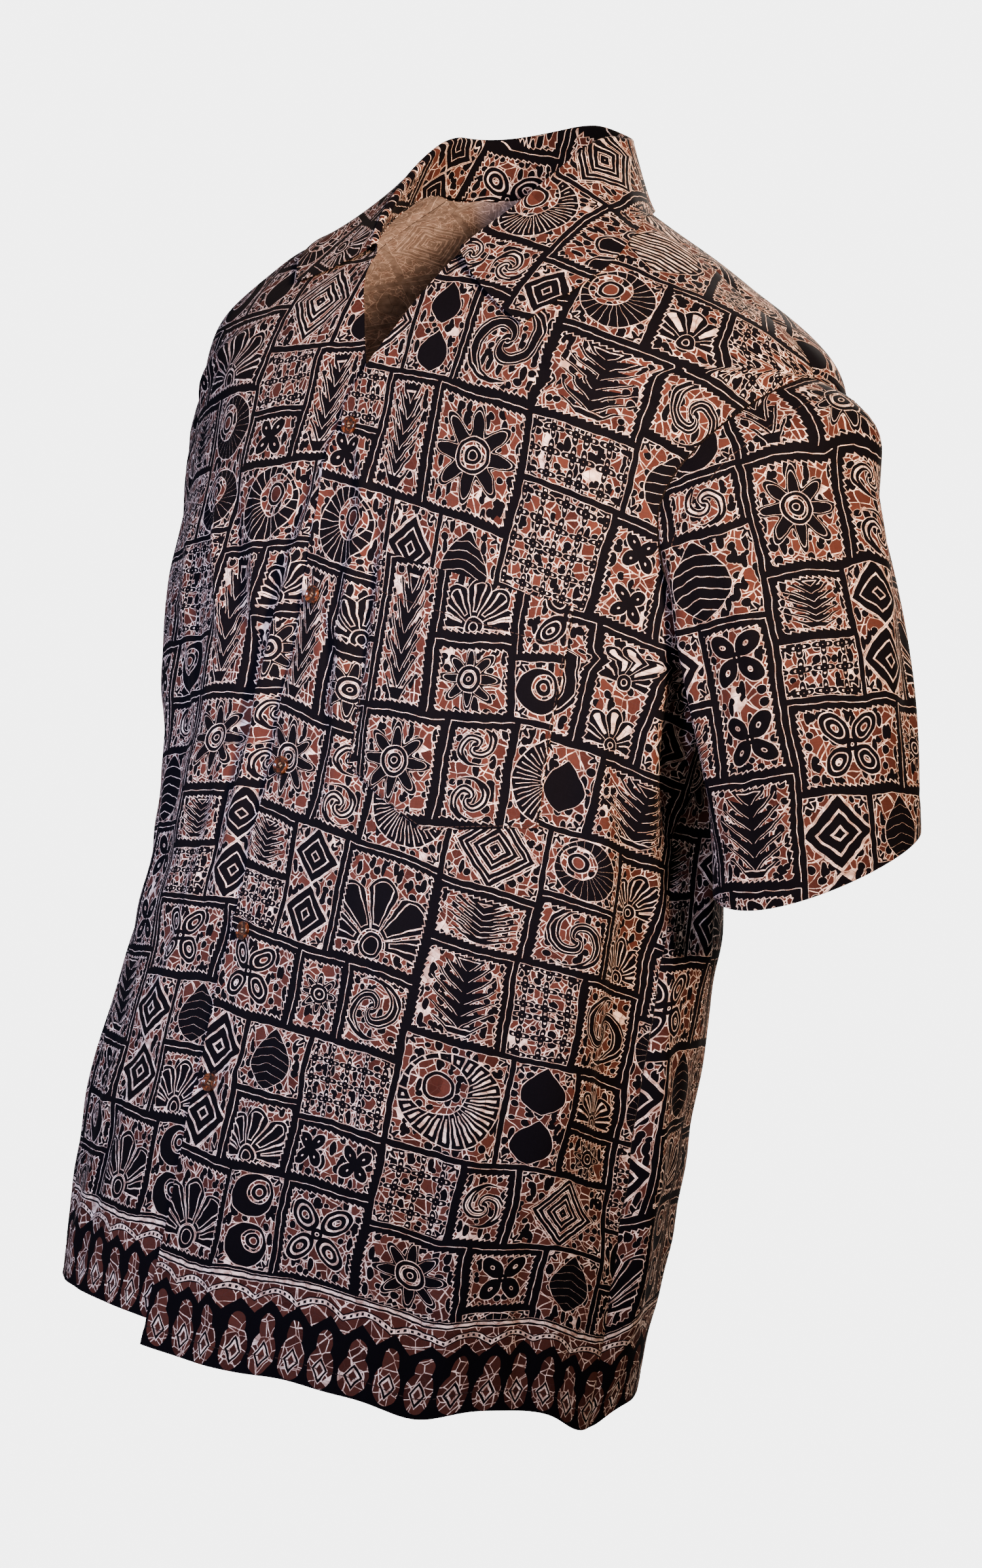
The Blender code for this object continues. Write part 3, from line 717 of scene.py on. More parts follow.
# %% [markdown]
# ## From grids to cloth
#
# A piece of cloth is a sheet with two faces and a real edge. The outer face is made from the grid, and
# Solidify gives it a wall on its inside, with a second material slot for the paler back of the print. The wall
# is 0.6 mm: thicker than the real cotton, which is about 0.25 mm, and thin enough to look like it.

# %% Make the cloth pieces


def cloth(name, closed=False):
    grid, cut = panels[name], cuts[name]
    rows, columns = grid.shape[:2]
    across = columns if closed else columns - 1
    corners = [(i * columns, j, (j + 1) % columns) for i in range(rows - 1) for j in range(across)]
    faces = [(row + j, row + k, row + columns + k, row + columns + j) for row, j, k in corners]
    mesh = bpy.data.meshes.new(name)
    mesh.from_pydata(grid.reshape(-1, 3).tolist(), [], faces)
    squares = [(i, j) for i in range(rows - 1) for j in range(across)]
    uv = [cut[i + di, j + dj] for i, j in squares for di, dj in ((0, 0), (0, 1), (1, 1), (1, 0))]
    mesh.uv_layers.new(name="flat_cut").data.foreach_set("uv", np.array(uv).ravel())
    piece = bpy.data.objects.new(f"{name}_cloth", mesh)
    bpy.context.scene.collection.objects.link(piece)
    bpy.ops.object.select_all(action="DESELECT")
    bpy.context.view_layer.objects.active = piece
    piece.select_set(True)
    wall = piece.modifiers.new("wall", "SOLIDIFY")
    wall.thickness = WALL
    wall.offset = -1
    wall.material_offset = 1
    mesh.materials.append(None)
    mesh.materials.append(None)
    bpy.ops.object.modifier_apply(modifier="wall")
    bpy.ops.object.shade_smooth_by_angle(angle=radians(50))
    return piece


pieces = {name: cloth(name, closed=name.endswith("sleeve")) for name in panels}
print({name: len(piece.data.polygons) for name, piece in pieces.items()})

# %% [markdown]
# ## Helpers for materials
#
# A material is a tree of nodes. One small function adds any node, sets it and links it, so that each material
# reads as a list of what it is made of. Most of a print is arithmetic on a place on the cloth, so a second
# function works through written lines of sums, with one Math node for each line.

# %% Add a node, turn a colour to linear, and work out a recipe


def add(tree, kind, inputs=None, stops=(), **settings):
    """Adds a node, gives it its settings and colour stops, and fills or links its inputs."""
    node = tree.nodes.new(kind)
    for name, value in settings.items():
        setattr(node, name, value)
    for k, (place, colour) in enumerate(stops):
        elements = node.color_ramp.elements
        stop = elements[k] if k < min(2, len(elements)) else elements.new(place)
        stop.position, stop.color = place, colour
    for key, value in (inputs or {}).items():
        if isinstance(value, bpy.types.NodeSocket):
            tree.links.new(value, node.inputs[key])
        else:
            node.inputs[key].default_value = value
    return node


def linear(code, alpha=1.0):
    """An sRGB hex colour as Blender's linear numbers."""
    values = [int(code[k : k + 2], 16) / 255 for k in (1, 3, 5)]
    return (*[v / 12.92 if v <= 0.04045 else ((v + 0.055) / 1.055) ** 2.4 for v in values], alpha)


OPERATIONS = {
    "+": "ADD", "-": "SUBTRACT", "*": "MULTIPLY", "/": "DIVIDE", "* +": "MULTIPLY_ADD", "<": "LESS_THAN",
    ">": "GREATER_THAN", "min": "MINIMUM", "max": "MAXIMUM", "mod": "FLOORED_MODULO", "pingpong": "PINGPONG",
    "atan2": "ARCTAN2", "near by": "COMPARE", "abs": "ABSOLUTE", "sqrt": "SQRT", "cos": "COSINE", "sin": "SINE",
    "floor": "FLOOR", "round": "ROUND", "fract": "FRACT",
}  # fmt: skip


def work_out(tree, values, recipe):
    """Works through sums such as 'rim = wave + 0.7' or 'c = cos t', a Math node each, and keeps them by name."""
    for line in recipe.strip().splitlines():
        name, _, *words = line.split()
        terms, signs = (words[::2], words[1::2]) if len(words) > 2 else (words[1:], words[:1])
        inputs = {k: values[term] if term in values else float(term) for k, term in enumerate(terms)}
        operation = OPERATIONS[" ".join(signs)]
        values[name] = add(tree, "ShaderNodeMath", inputs, operation=operation).outputs[0]
    return values


print("The floor's pale grey is", np.round(linear("#e9e7e4")[:3], 3), "in linear colour")

# %% [markdown]
# ## The batik print
#
# Batik is drawn or stamped on cotton in hot wax, which keeps the dye out, and the cloth is dyed, boiled clean
# and waxed again for the next colour. It leaves three colours here: the tan that was waxed first, red-brown
# pebbles, and black over everything that no wax covered. The wax cracks as the cloth is handled and the dye
# runs in, so fine lines cross the colours. Every edge wavers a little, because a hand drew it.
#
# This print is a patchwork: upright strips of cells in black frames, each cell filled with one of nine common
# motifs, on a ground of pebbles. A picture of the cloth would be quicker, but it would blur close up and could
# not be moved to another cut. As nodes it stays sharp, and each size below is a real one in millimetres.

# %% The layout of the patchwork, in millimetres
STRIP = 160.0
BANDS = ((0, 66), (66, 92), (158, 54), (212, 76))  # where each band of a strip starts, and how tall it is
BAND_ROUND = 288.0
CELLS = (  # for each band: where a cell starts, its width, where it is split across, and its motif
    ((0, 58, 0.0, 0), (58, 42, 0.0, 3), (100, 60, 0.0, 7)),
    ((0, 44, 0.0, 1), (44, 52, 0.52, 4), (96, 64, 0.42, 2)),
    ((0, 74, 0.0, 7), (74, 38, 0.0, 5), (112, 48, 0.0, 8)),
    ((0, 50, 0.47, 6), (50, 42, 0.0, 1), (92, 68, 0.0, 0)),
)
MOTIFS = 9
WAVER, TREMBLE = 8.0, 1.1  # how far the hand strays slowly, and how far it shakes

batik = bpy.data.node_groups.new("batik_print", "ShaderNodeTree")
batik.interface.new_socket("Flat place", in_out="INPUT", socket_type="NodeSocketVector")
for name in ("Red", "Black", "Tone"):
    batik.interface.new_socket(name, in_out="OUTPUT", socket_type="NodeSocketFloat")
flat_place = add(batik, "NodeGroupInput").outputs[0]
noise = {"noise_dimensions": "2D"}
slow = add(batik, "ShaderNodeTexNoise", {"Vector": flat_place, "Scale": 16.0, "Detail": 1.0}, **noise)
quick = add(batik, "ShaderNodeTexNoise", {"Vector": flat_place, "Scale": 160.0, "Detail": 0.0}, **noise)
drawn = (-WAVER / 2, -WAVER / 2, 0)
for source, size in ((slow.outputs["Color"], WAVER), (quick.outputs["Color"], TREMBLE), (flat_place, 1000)):
    inputs = {0: source, 1: (size, size, 0), 2: drawn}
    drawn = add(batik, "ShaderNodeVectorMath", inputs, operation="MULTIPLY_ADD").outputs[0]
places = add(batik, "ShaderNodeSeparateXYZ", {0: drawn})
mm = {"u": places.outputs[0], "v": places.outputs[1]}
work_out(batik, mm, f"""
strips = u / {STRIP}
strip = floor strips
x = u pingpong {STRIP}
lift = strip * 107 + -62
high = v + lift
y = high mod {BAND_ROUND}
rounds = high / {BAND_ROUND}
round = floor rounds
x_share = x / {STRIP}
y_share = y / {BAND_ROUND}
""")
levels = [(start / BAND_ROUND, tall / BAND_ROUND, k / 4, 1) for k, (start, tall) in enumerate(BANDS)]
band = add(batik, "ShaderNodeValToRGB", {0: mm["y_share"]}, stops=[(level[0], level) for level in levels])
band.color_ramp.interpolation = "CONSTANT"
parts = add(batik, "ShaderNodeSeparateColor", {0: band.outputs[0]}).outputs
mm.update(band_start=parts[0], band_tall=parts[1], band=parts[2])
for name in ("start", "wide", "split", "motif"):
    mm[name] = None
for k, cells in enumerate(CELLS):
    row = [(start / STRIP, wide / STRIP, split, motif / 16) for start, wide, split, motif in cells]
    row = add(batik, "ShaderNodeValToRGB", {0: mm["x_share"]}, stops=[(cell[0], cell) for cell in row])
    row.color_ramp.interpolation = "CONSTANT"
    work_out(batik, mm, f"here = band near {k / 4} by 0.1")
    parts = [*add(batik, "ShaderNodeSeparateColor", {0: row.outputs[0]}).outputs, row.outputs[1]]
    for name, part in zip(("start", "wide", "split", "motif"), parts):
        inputs = {0: mm["here"], 1: part, 2: mm[name] or 0.0}
        mm[name] = add(batik, "ShaderNodeMath", inputs, operation="MULTIPLY_ADD").outputs[0]
work_out(batik, mm, f"""
from_left = start * {STRIP}
cx = x - from_left
w = wide * {STRIP}
from_foot = band_start * {BAND_ROUND}
band_y = y - from_foot
tall = band_tall * {BAND_ROUND}
cut = split * tall
upper = band_y > cut
raised = upper * cut
cy = band_y - raised
rest = tall - cut
rest_more = rest - cut
h = upper * rest_more + cut
number = motif * 16 + 0.02
number = upper * 4 + number
number = strip * 3 + number
number = round * 5 + number
number = number mod {MOTIFS}
number = floor number
""")
print("The print has", sum(len(cells) for cells in CELLS), "cells in a strip", STRIP, "mm wide")

# %% [markdown]
# ### The frames and the ground
#
# A black line nearly 4 mm wide runs between the cells, with a thin waxed line of tan beside it. The cells of
# five of the nine motifs have a second black band inside, broader on their left and their top, with a
# saw-toothed edge. The ground is pebbles of red-brown some 8 mm across, with fine tan lines between and across
# them, and black drops and small leaves among them.

# %% Frames, pebbles and drops
PEBBLES = 0.115  # in a millimetre, which puts them 8.7 mm apart
work_out(batik, mm, """
right_gap = w - cx
top_gap = h - cy
side_gap = cx min right_gap
level_gap = cy min top_gap
gap = side_gap min level_gap
corner_gap = cx min top_gap
broad = number < 4.5
not_broad = 1 - broad
far_gap = not_broad * 100 + 2.6
far_gap = gap + far_gap
band_gap = corner_gap min far_gap
diagonal = x + y
tooth = diagonal pingpong 2.1
tooth = tooth * 0.7 + 3.9
reach = broad * tooth + 1.65
frame = gap < 1.9
past = band_gap > 2.3
short = band_gap < reach
second = past * short
frame = frame max second
halo_reach = reach + 0.55
frame_halo = band_gap < halo_reach
gap_halo = gap < 2.2
frame_halo = frame_halo max gap_halo
""")
LEAF_SCALE, LEAF_SLANT = (0.15, 0.07, 1), (0, 0, 0.5)
inputs = {"Vector": drawn, "Rotation": LEAF_SLANT, "Scale": LEAF_SCALE}
slanted = add(batik, "ShaderNodeMapping", inputs).outputs[0]
for name, place, scale in (("pebble", drawn, PEBBLES), ("drop", drawn, 0.14), ("leaf", slanted, 1.0)):
    grain = add(batik, "ShaderNodeTexVoronoi", {"Vector": place, "Scale": scale}, voronoi_dimensions="2D")
    parts = add(batik, "ShaderNodeSeparateColor", {0: grain.outputs["Color"]}).outputs
    mm.update({f"{name}_far": grain.outputs[0], f"{name}_chance": parts[0], f"{name}_size": parts[1]})
    mm[f"{name}_tone"] = parts[2]
for name, scale in (("pebble_edge", PEBBLES), ("vein_edge", 0.065)):
    inputs = {"Vector": drawn, "Scale": scale}
    lines = add(batik, "ShaderNodeTexVoronoi", inputs, voronoi_dimensions="2D", feature="DISTANCE_TO_EDGE")
    mm[name] = lines.outputs[0]
work_out(batik, mm, """
least = pebble_size * 0.03 + 0.012
inside = pebble_edge > least
chosen = pebble_chance > 0.02
split_line = vein_edge > 0.022
red = inside * chosen
red = red * split_line
drop_reach = drop_size * 0.16 + 0.24
drop_chosen = drop_chance > 0.32
drop_in = drop_far < drop_reach
black = drop_in * drop_chosen
ring_reach = drop_reach + 0.035
ring = drop_far < ring_reach
ring = ring * drop_chosen
leaf_chosen = leaf_chance > 0.36
leaf_in = leaf_far < 0.31
leaf_ring = leaf_far < 0.36
leaf_in = leaf_in * leaf_chosen
leaf_ring = leaf_ring * leaf_chosen
black = black max leaf_in
ring = ring max leaf_ring
open = 1 - ring
red = red * open
""")

# %% [markdown]
# ### The motifs
#
# Each motif is a rule that gives, at any place in its cell, how far outside its ink that place is. They are
# old and common ones: an eight-petalled rosette, a spray of leaves, the four ovals of kawung, a double scroll,
# a palmette, nested lozenges, small truntum stars, a striped crescent and a striped leaf. A cell holds one
# motif, or a row of it where the cell is long. A place is inked where the number, in millimetres, is below
# 0.9, and waxed tan as far as 1.45.

# %% Nine motifs
work_out(batik, mm, """
long_x = w / h
count_x = round long_x
count_x = count_x max 1
long_y = h / w
count_y = round long_y
count_y = count_y max 1
tile_x = w / count_x
tile_y = h / count_y
half_x = tile_x * 0.5
half_y = tile_y * 0.5
px = cx mod tile_x
px = px - half_x
py = cy mod tile_y
py = py - half_y
radius = half_x min half_y
radius = radius - 3.0
less = broad * 1.6
radius = radius - less
X = px / radius
Y = py / radius
XX = X * X
rr = Y * Y + XX
r = sqrt rr
t = Y atan2 X
aX = abs X
aY = abs Y
half_w = w * 0.5
half_h = h * 0.5
fx = cx - half_w
fy = cy - half_h
inner_w = half_w - 5
inner_w = inner_w - less
inner_h = half_h - 4.5
inner_h = inner_h - less
fX = fx / inner_w
fX = abs fX
fY = fy / inner_h
afY = abs fY
""")
ROSETTE = """
a = t * 8
a = cos a
a = a * 0.24 + 0.74
a = r - a
b = 0.34 - r
a = a max b
b = r - 0.17
ink = a min b
"""
LEAF_SPRAY = """
a = fX * 1.1
b = fY * 3.4 + 9
a = b - a
a = fract a
a = a * 0.72 + 0.16
b = fY * fY
b = b * -0.45 + 1
a = a * b
a = fX - a
b = fX - 0.07
a = a min b
b = afY - 0.97
a = a max b
ink = a * 0.8
"""
KAWUNG = """
a = aX + aY
a = a * 0.7071 + -0.60
b = aX - aY
b = b * 0.7071
a = a / 0.42
b = b / 0.27
a = a * a
a = b * b + a
a = sqrt a
a = a - 0.72
a = abs a
a = a * 0.30 + -0.085
b = r - 0.12
ink = a min b
"""
SCROLL = """
a = r * 8.5
b = t * 2
a = b - a
a = cos a
a = a * -0.20 + 0.05
b = r - 1.0
a = a max b
b = r - 0.14
ink = a min b
"""
PALMETTE = """
a = Y + 0.85
b = a * a
b = X * X + b
b = sqrt b
c = X atan2 a
d = c * 4.5
d = cos d
d = abs d
e = d * 0.35 + 1.18
e = b - e
d = d * -0.22 + 0.075
e = e max d
d = 0.40 - b
e = e max d
c = abs c
c = c * 0.5 + -0.78
e = e max c
b = b - 0.26
ink = e min b
"""
LOZENGES = """
a = aX + aY
b = a pingpong 0.23
b = b - 0.115
b = b * 0.7
a = a - 1.15
ink = a max b
"""
TRUNTUM = """
a = px pingpong 6.5
b = py pingpong 6.5
c = a * a
c = b * b + c
c = sqrt c
d = b atan2 a
d = d * 4
d = cos d
d = d * 2.0 + 3.5
d = c - d
c = 1.1 - c
d = d max c
ink = d / radius
"""
CRESCENT = """
a = X - 0.26
b = Y - 0.20
a = a * a
a = b * b + a
a = sqrt a
b = r - 0.98
c = 0.64 - a
b = b max c
c = t * 11
c = sin c
c = abs c
c = c * -0.11 + 0.050
b = b max c
a = a - 0.30
ink = a min b
"""
STRIPED_LEAF = """
a = Y * Y
a = a * -0.72 + 0.72
b = Y * -0.35 + 1.05
a = a * b
a = aX - a
b = aX * 3
b = Y * 11 + b
b = cos b
b = abs b
b = b * -0.11 + 0.050
ink = a max b
"""
motifs = (ROSETTE, LEAF_SPRAY, KAWUNG, SCROLL, PALMETTE, LOZENGES, TRUNTUM, CRESCENT, STRIPED_LEAF)
mm["field"] = add(batik, "ShaderNodeMath", {0: 0.0, 1: 0.0}).outputs[0]
for k, motif in enumerate(motifs):
    work_out(batik, mm, motif + f"here = number near {k} by 0.2\nfield = here * ink + field")
work_out(batik, mm, """
field = field * radius
ink = field < 0.9
halo = field < 1.45
vein = field < -1.6
core = field < -2.1
plain = ink - vein
core_red = number > 4.5
core_black = 1 - core_red
core_black = core * core_black
core_red = core * core_red
ink = plain + core_black
""")

# %% [markdown]
# ### The border along the hem
#
# The cloth's edge has its own border, and the shirt is cut so that it runs round the hem: waxed buds 21 mm
# apart on black, each with a lozenge in it, a row of beaded scallops over them, and two thin lines.

# %% Put the parts in order: ground, corners, motif, frame, border
work_out(batik, mm, """
qx = abs fx
qx = half_w - qx
qx = qx - 2.6
qy = abs fy
qy = half_h - qy
qy = qy - 2.6
c = qx * qx
c = qy * qy + c
c = sqrt c
d = qy atan2 qx
d = d * 8
d = cos d
d = d * 1.9 + 5.6
d = c - d
c = 2.6 - c
fan = d max c
fan_ink = fan < 0
fan_halo = fan < 0.9
fan_ink = fan_ink * not_broad
fan_halo = fan_halo * not_broad
halo = halo max fan_halo
halo = halo max frame_halo
ink = ink max fan_ink
off = 1 - halo
red = red * off + core_red
black = black * off
off = 1 - frame_halo
ink = ink * off
black = black max ink
black = black max frame
ground_red = inside * chosen
ground_red = ground_red * split_line
ax = u pingpong 10.5
a = ax / 9.0
b = v - 15
b = b / 13.5
a = a * a
a = b * b + a
b = ax / 5.4
c = v - 30
c = c / 8.5
b = b * b
b = c * c + b
bud = a min b
bud_in = bud < 1
bud_out = 1 - bud_in
peak = ax * -0.85 + 47
low = v < peak
bud_black = bud_out * low
d = v - 14
d = abs d
d = d / 8.4
c = ax / 5.6
d = c + d
c = d - 0.86
c = abs c
c = c < 0.15
bud_black = bud_black max c
core = d < 0.45
b = d > 1.12
b = b * ground_red
core = core max b
wave = u * 0.1013
wave = sin wave
wave = abs wave
wave = wave * 5.5 + 47.5
c = v - wave
c = abs c
rope = c < 2.3
rope_edge = c > 1.45
bead = u pingpong 1.9
bead = bead < 0.85
d = c < 0.8
bead = bead * d
rope_ink = rope_edge max bead
off = 1 - rope
bud_black = bud_black * off
core = core * off
bud_black = rope * rope_ink + bud_black
a = v near 58.2 by 0.65
b = v near 61.2 by 0.6
c = a max b
lines = v > 57.0
off = 1 - lines
bud_black = bud_black * off
bud_black = bud_black max c
core = core * off
above = v > 62
below = 1 - above
red = red * above
red = below * core + red
black = black * above
black = below * bud_black + black
off = 1 - black
red = red * off
""")
add(batik, "NodeGroupOutput", {"Red": mm["red"], "Black": mm["black"], "Tone": mm["pebble_tone"]})
print("The print is made of", len(batik.nodes), "nodes")

# %% [markdown]
# ## The cloth's material
#
# Light cotton lawn in plain weave. It is matt, with a little sheen where the fibres catch the light along an
# edge. Its threads are about 0.3 mm apart, which is finer than a picture of the whole shirt can show, so the
# weave is drawn as slubs three times as coarse. The dye is uneven: the tan is warmer and colder by patches,
# and hairline cracks of dye cross it where the wax broke. The back of the cloth is paler, because the print
# barely comes through.

# %% Printed cotton, outside and inside
TAN, DARK_TAN, BROWN, WORN_BROWN, CRACK, BLACK = "#e6ccbe", "#967a6d", "#2f1713", "#44251e", "#3a2420", "#060508"
CRACK_DEPTH = 0.7  # how much of the dye a crack lets through
OUTSIDE, INSIDE = 1.0, 0.55  # how much of the print shows on each face of the cloth
PRINT_PLACES = {
    "left_front": (0.009, 0.0),
    "right_front": (0.113, 0.0),
    "back": (0.320, 0.0),
    "left_sleeve": (0.047, 0.172),
    "right_sleeve": (1.105, 0.740),
    "pocket": (0.052, 0.344),
    "collar": (0.081, 0.410),
}


def printed_cotton(name, place, through):
    """The print moved to its place on one piece. through is how much of it shows: all outside, less inside."""
    material = bpy.data.materials.new(name)
    material.use_nodes = True
    tree = material.node_tree
    shader = tree.nodes["Principled BSDF"]
    flat = add(tree, "ShaderNodeUVMap", uv_map="flat_cut").outputs[0]
    moved = add(tree, "ShaderNodeMapping", {"Vector": flat, "Location": (*place, 0)}).outputs[0]
    drawing = add(tree, "ShaderNodeGroup", node_tree=batik)
    tree.links.new(moved, drawing.inputs[0])
    patches = add(tree, "ShaderNodeTexNoise", {"Vector": moved, "Scale": 150.0, "Detail": 4.0}, **noise)
    sums = {"patch": patches.outputs[0], "red": drawing.outputs["Red"], "black": drawing.outputs["Black"]}
    for part, scale in (("weft", (180, 900, 1)), ("warp", (900, 180, 1)), ("crack", (95, 135, 1))):
        stretched = add(tree, "ShaderNodeMapping", {"Vector": moved, "Scale": scale}).outputs[0]
        inputs = {"Vector": stretched, "Scale": 1.0}
        if part == "crack":
            kind, settings = "ShaderNodeTexVoronoi", {"voronoi_dimensions": "2D", "feature": "DISTANCE_TO_EDGE"}
        else:
            kind, settings, inputs["Detail"] = "ShaderNodeTexNoise", noise, 2.0
        sums[part] = add(tree, kind, inputs, **settings).outputs[0]
    work_out(tree, sums, f"""
weave = warp + weft
shade = patch * 3.4 + -1.2
shade = shade max 0
shade = shade min 1
shade = shade * {through}
red = red * {through}
black = black * {through}
crack = crack < 0.024
crack = crack * {CRACK_DEPTH * through}
grain = weave * 0.30 + 0.70
""")
    brown = {0: drawing.outputs["Tone"], 6: linear(BROWN), 7: linear(WORN_BROWN)}
    brown = add(tree, "ShaderNodeMix", brown, data_type="RGBA").outputs[2]
    colour = linear(TAN)
    dyes = (("shade", linear(DARK_TAN)), ("red", brown), ("crack", linear(CRACK)), ("black", linear(BLACK)))
    for part, dye in dyes:
        colour = add(tree, "ShaderNodeMix", {0: sums[part], 6: colour, 7: dye}, data_type="RGBA").outputs[2]
    woven = add(tree, "ShaderNodeVectorMath", {0: colour, "Scale": sums["grain"]}, operation="SCALE")
    tree.links.new(woven.outputs[0], shader.inputs["Base Color"])
    bump = add(tree, "ShaderNodeBump", {"Height": sums["weave"], "Strength": 0.25, "Distance": 0.0002})
    tree.links.new(bump.outputs[0], shader.inputs["Normal"])
    finish = {"Roughness": 0.86, "Specular IOR Level": 0.03, "Sheen Weight": 0.01, "Sheen Roughness": 0.4}
    for name, value in finish.items():
        shader.inputs[name].default_value = value
    return material


for name, piece in pieces.items():
    piece.data.materials[0] = printed_cotton(f"printed_cotton_{name}", PRINT_PLACES[name], OUTSIDE)
    piece.data.materials[1] = printed_cotton(f"back_of_cotton_{name}", PRINT_PLACES[name], INSIDE)
print("Each piece has the print at its own place:", PRINT_PLACES)

# %% [markdown]
# ## The sewing
#
# The hems of the body and the sleeves are turned up and sewn down by machine, and the pocket is sewn on round
# its sides and foot, in dark cotton thread. A real stitch is about 2.4 mm long and 0.25 mm thick, and it sinks
# into the cloth until only its back stands out. A line of dashes drawn in the material would be flat, so each
# stitch is a small six-sided grain of thread. All of them are one mesh, made by one rule along lines that are
# read from the panels' own grids.

# %% Lines of stitches on the panels
STITCH_LENGTH, STITCH_PITCH = 0.0026, 0.0034
STITCH_RADIUS = 0.00034  # a little thicker than real, so that it shows
POCKET_SEWN = 0.0016  # how far inside the pocket's edge its stitches lie
STITCH_SHAPE = ((-0.5, 0.35), (-0.32, 1.0), (0.32, 1.0), (0.5, 0.35))  # place along it, and thickness there


def line_at(grid, depth, closed=False):
    """The line that lies this deep in a grid from its first row, and the way out of the cloth along it."""
    down = steps_along(grid, 0)
    normal = grid_normals(grid, closed)
    below = np.clip((down < depth).sum(0) - 1, 0, len(grid) - 2)
    k = np.arange(grid.shape[1])
    share = ((depth - down[below, k]) / (down[below + 1, k] - down[below, k]))[:, None]
    points = grid[below, k] + (grid[below + 1, k] - grid[below, k]) * share
    if closed:
        k = np.array([*k, 0])
    return points[k], normal[below, np.arange(grid.shape[1])][k]


def stitches(line, outward):
    """A stitch at each step along a line: its points, in rings of six round its length."""
    step = np.linalg.norm(np.diff(line, axis=0), axis=1)
    there = np.array([0, *np.cumsum(step)])
    at = np.arange(STITCH_PITCH, there[-1] - STITCH_PITCH, STITCH_PITCH)

    def read(values, places):
        return np.stack([np.interp(places, there, values[:, k]) for k in range(3)], -1)

    middle, normal = read(line, at), read(outward, at)
    along = read(line, at + STITCH_LENGTH / 2) - read(line, at - STITCH_LENGTH / 2)
    along /= np.linalg.norm(along, axis=1, keepdims=True)
    across = np.cross(normal, along)
    rings = []
    for place, thick in STITCH_SHAPE:
        for turn in np.arange(6) * pi / 3:
            sideways = across * cos(turn) + normal * sin(turn)
            rings.append(middle + along * place * STITCH_LENGTH + sideways * thick * STITCH_RADIUS)
    return np.stack(rings, 1)


pocket_rim = panels["pocket"][:, ::-1]
sewn_lines = [line_at(panels[name], HEM_DEPTH) for name in ("left_front", "right_front", "back")]
sewn_lines += [line_at(panels[name][::-1], SLEEVE_HEM, closed=True) for name in ("left_sleeve", "right_sleeve")]
sewn_lines += [line_at(panels["pocket"], POCKET_SEWN), line_at(panels["pocket"][::-1], POCKET_HEM)]
sewn_lines += [line_at(grid.swapaxes(0, 1), POCKET_SEWN) for grid in (panels["pocket"], pocket_rim)]
grains = np.concatenate([stitches(line, outward) for line, outward in sewn_lines])
sides = [(6 * ring, k, (k + 1) % 6) for ring in range(3) for k in range(6)]
grain_faces = [(ring + k, ring + after, ring + 6 + after, ring + 6 + k) for ring, k, after in sides]
grain_faces += [(5, 4, 3, 2, 1, 0), (18, 19, 20, 21, 22, 23)]
faces = [tuple(24 * k + corner for corner in face) for k in range(len(grains)) for face in grain_faces]
mesh = bpy.data.meshes.new("hem_stitches")
mesh.from_pydata(grains.reshape(-1, 3).tolist(), [], faces)
mesh.shade_smooth()
sewing = bpy.data.objects.new("hem_stitches", mesh)
bpy.context.scene.collection.objects.link(sewing)
print(len(grains), "stitches in", len(sewn_lines), "lines, with", len(faces), "faces")

# %% [markdown]
# ## The buttons
#
# The buttons are 11.4 mm across, turned from an amber and brown polyester that imitates horn. Each has a
# raised rim, a dished middle and four holes, and is sewn on with two bars of thread. One is modelled from a
# cylinder, with its face inset and pushed down twice and its holes cut, and then it is copied to the five
# places. A bevel rounds its edges, because a polished edge is where a button catches the light.

# %% Model one button and its thread, and copy them to their places
BUTTON_HEIGHTS = (-0.163, -0.2705, -0.378, -0.4825, -0.5775)
BUTTON_RADIUS, BUTTON_THICKNESS, BUTTON_RIM = 0.0057, 0.0024, 0.0012
BUTTON_STAND_OFF = 0.0007
HOLE_RADIUS, HOLE_SPACING = 0.0007, 0.0013
BUTTON_TURNS = (20, -35, 50, 10, -15)  # degrees
BUTTONHOLE, BUTTONHOLE_PITCH = 0.0145, 0.0003


def only(piece):
    """Makes a piece the one that the next operators work on."""
    bpy.ops.object.select_all(action="DESELECT")
    bpy.context.view_layer.objects.active = piece
    piece.select_set(True)


bpy.ops.mesh.primitive_cylinder_add(
    vertices=48, radius=BUTTON_RADIUS, depth=BUTTON_THICKNESS, location=(0, 0, 0)
)  # fmt: skip
button = bpy.context.active_object
button.name = "button"
for vertex in button.data.vertices:
    vertex.co.z += BUTTON_THICKNESS / 2
bpy.ops.object.mode_set(mode="EDIT")
bpy.ops.mesh.select_mode(type="FACE")
bpy.ops.mesh.select_all(action="DESELECT")
bpy.ops.object.mode_set(mode="OBJECT")
for face in button.data.polygons:
    face.select = face.normal.z > 0.9
bpy.ops.object.mode_set(mode="EDIT")
bpy.ops.mesh.inset(thickness=BUTTON_RIM * 0.8, depth=0)
bpy.ops.mesh.inset(thickness=BUTTON_RIM * 0.7, depth=-BUTTON_THICKNESS * 0.30)
bpy.ops.mesh.inset(thickness=BUTTON_RIM * 0.9, depth=-BUTTON_THICKNESS * 0.08)
bpy.ops.object.mode_set(mode="OBJECT")
rounding = button.modifiers.new("rounding", "BEVEL")
rounding.width, rounding.segments, rounding.angle_limit = 0.00035, 3, radians(20)
bpy.ops.object.modifier_apply(modifier="rounding")
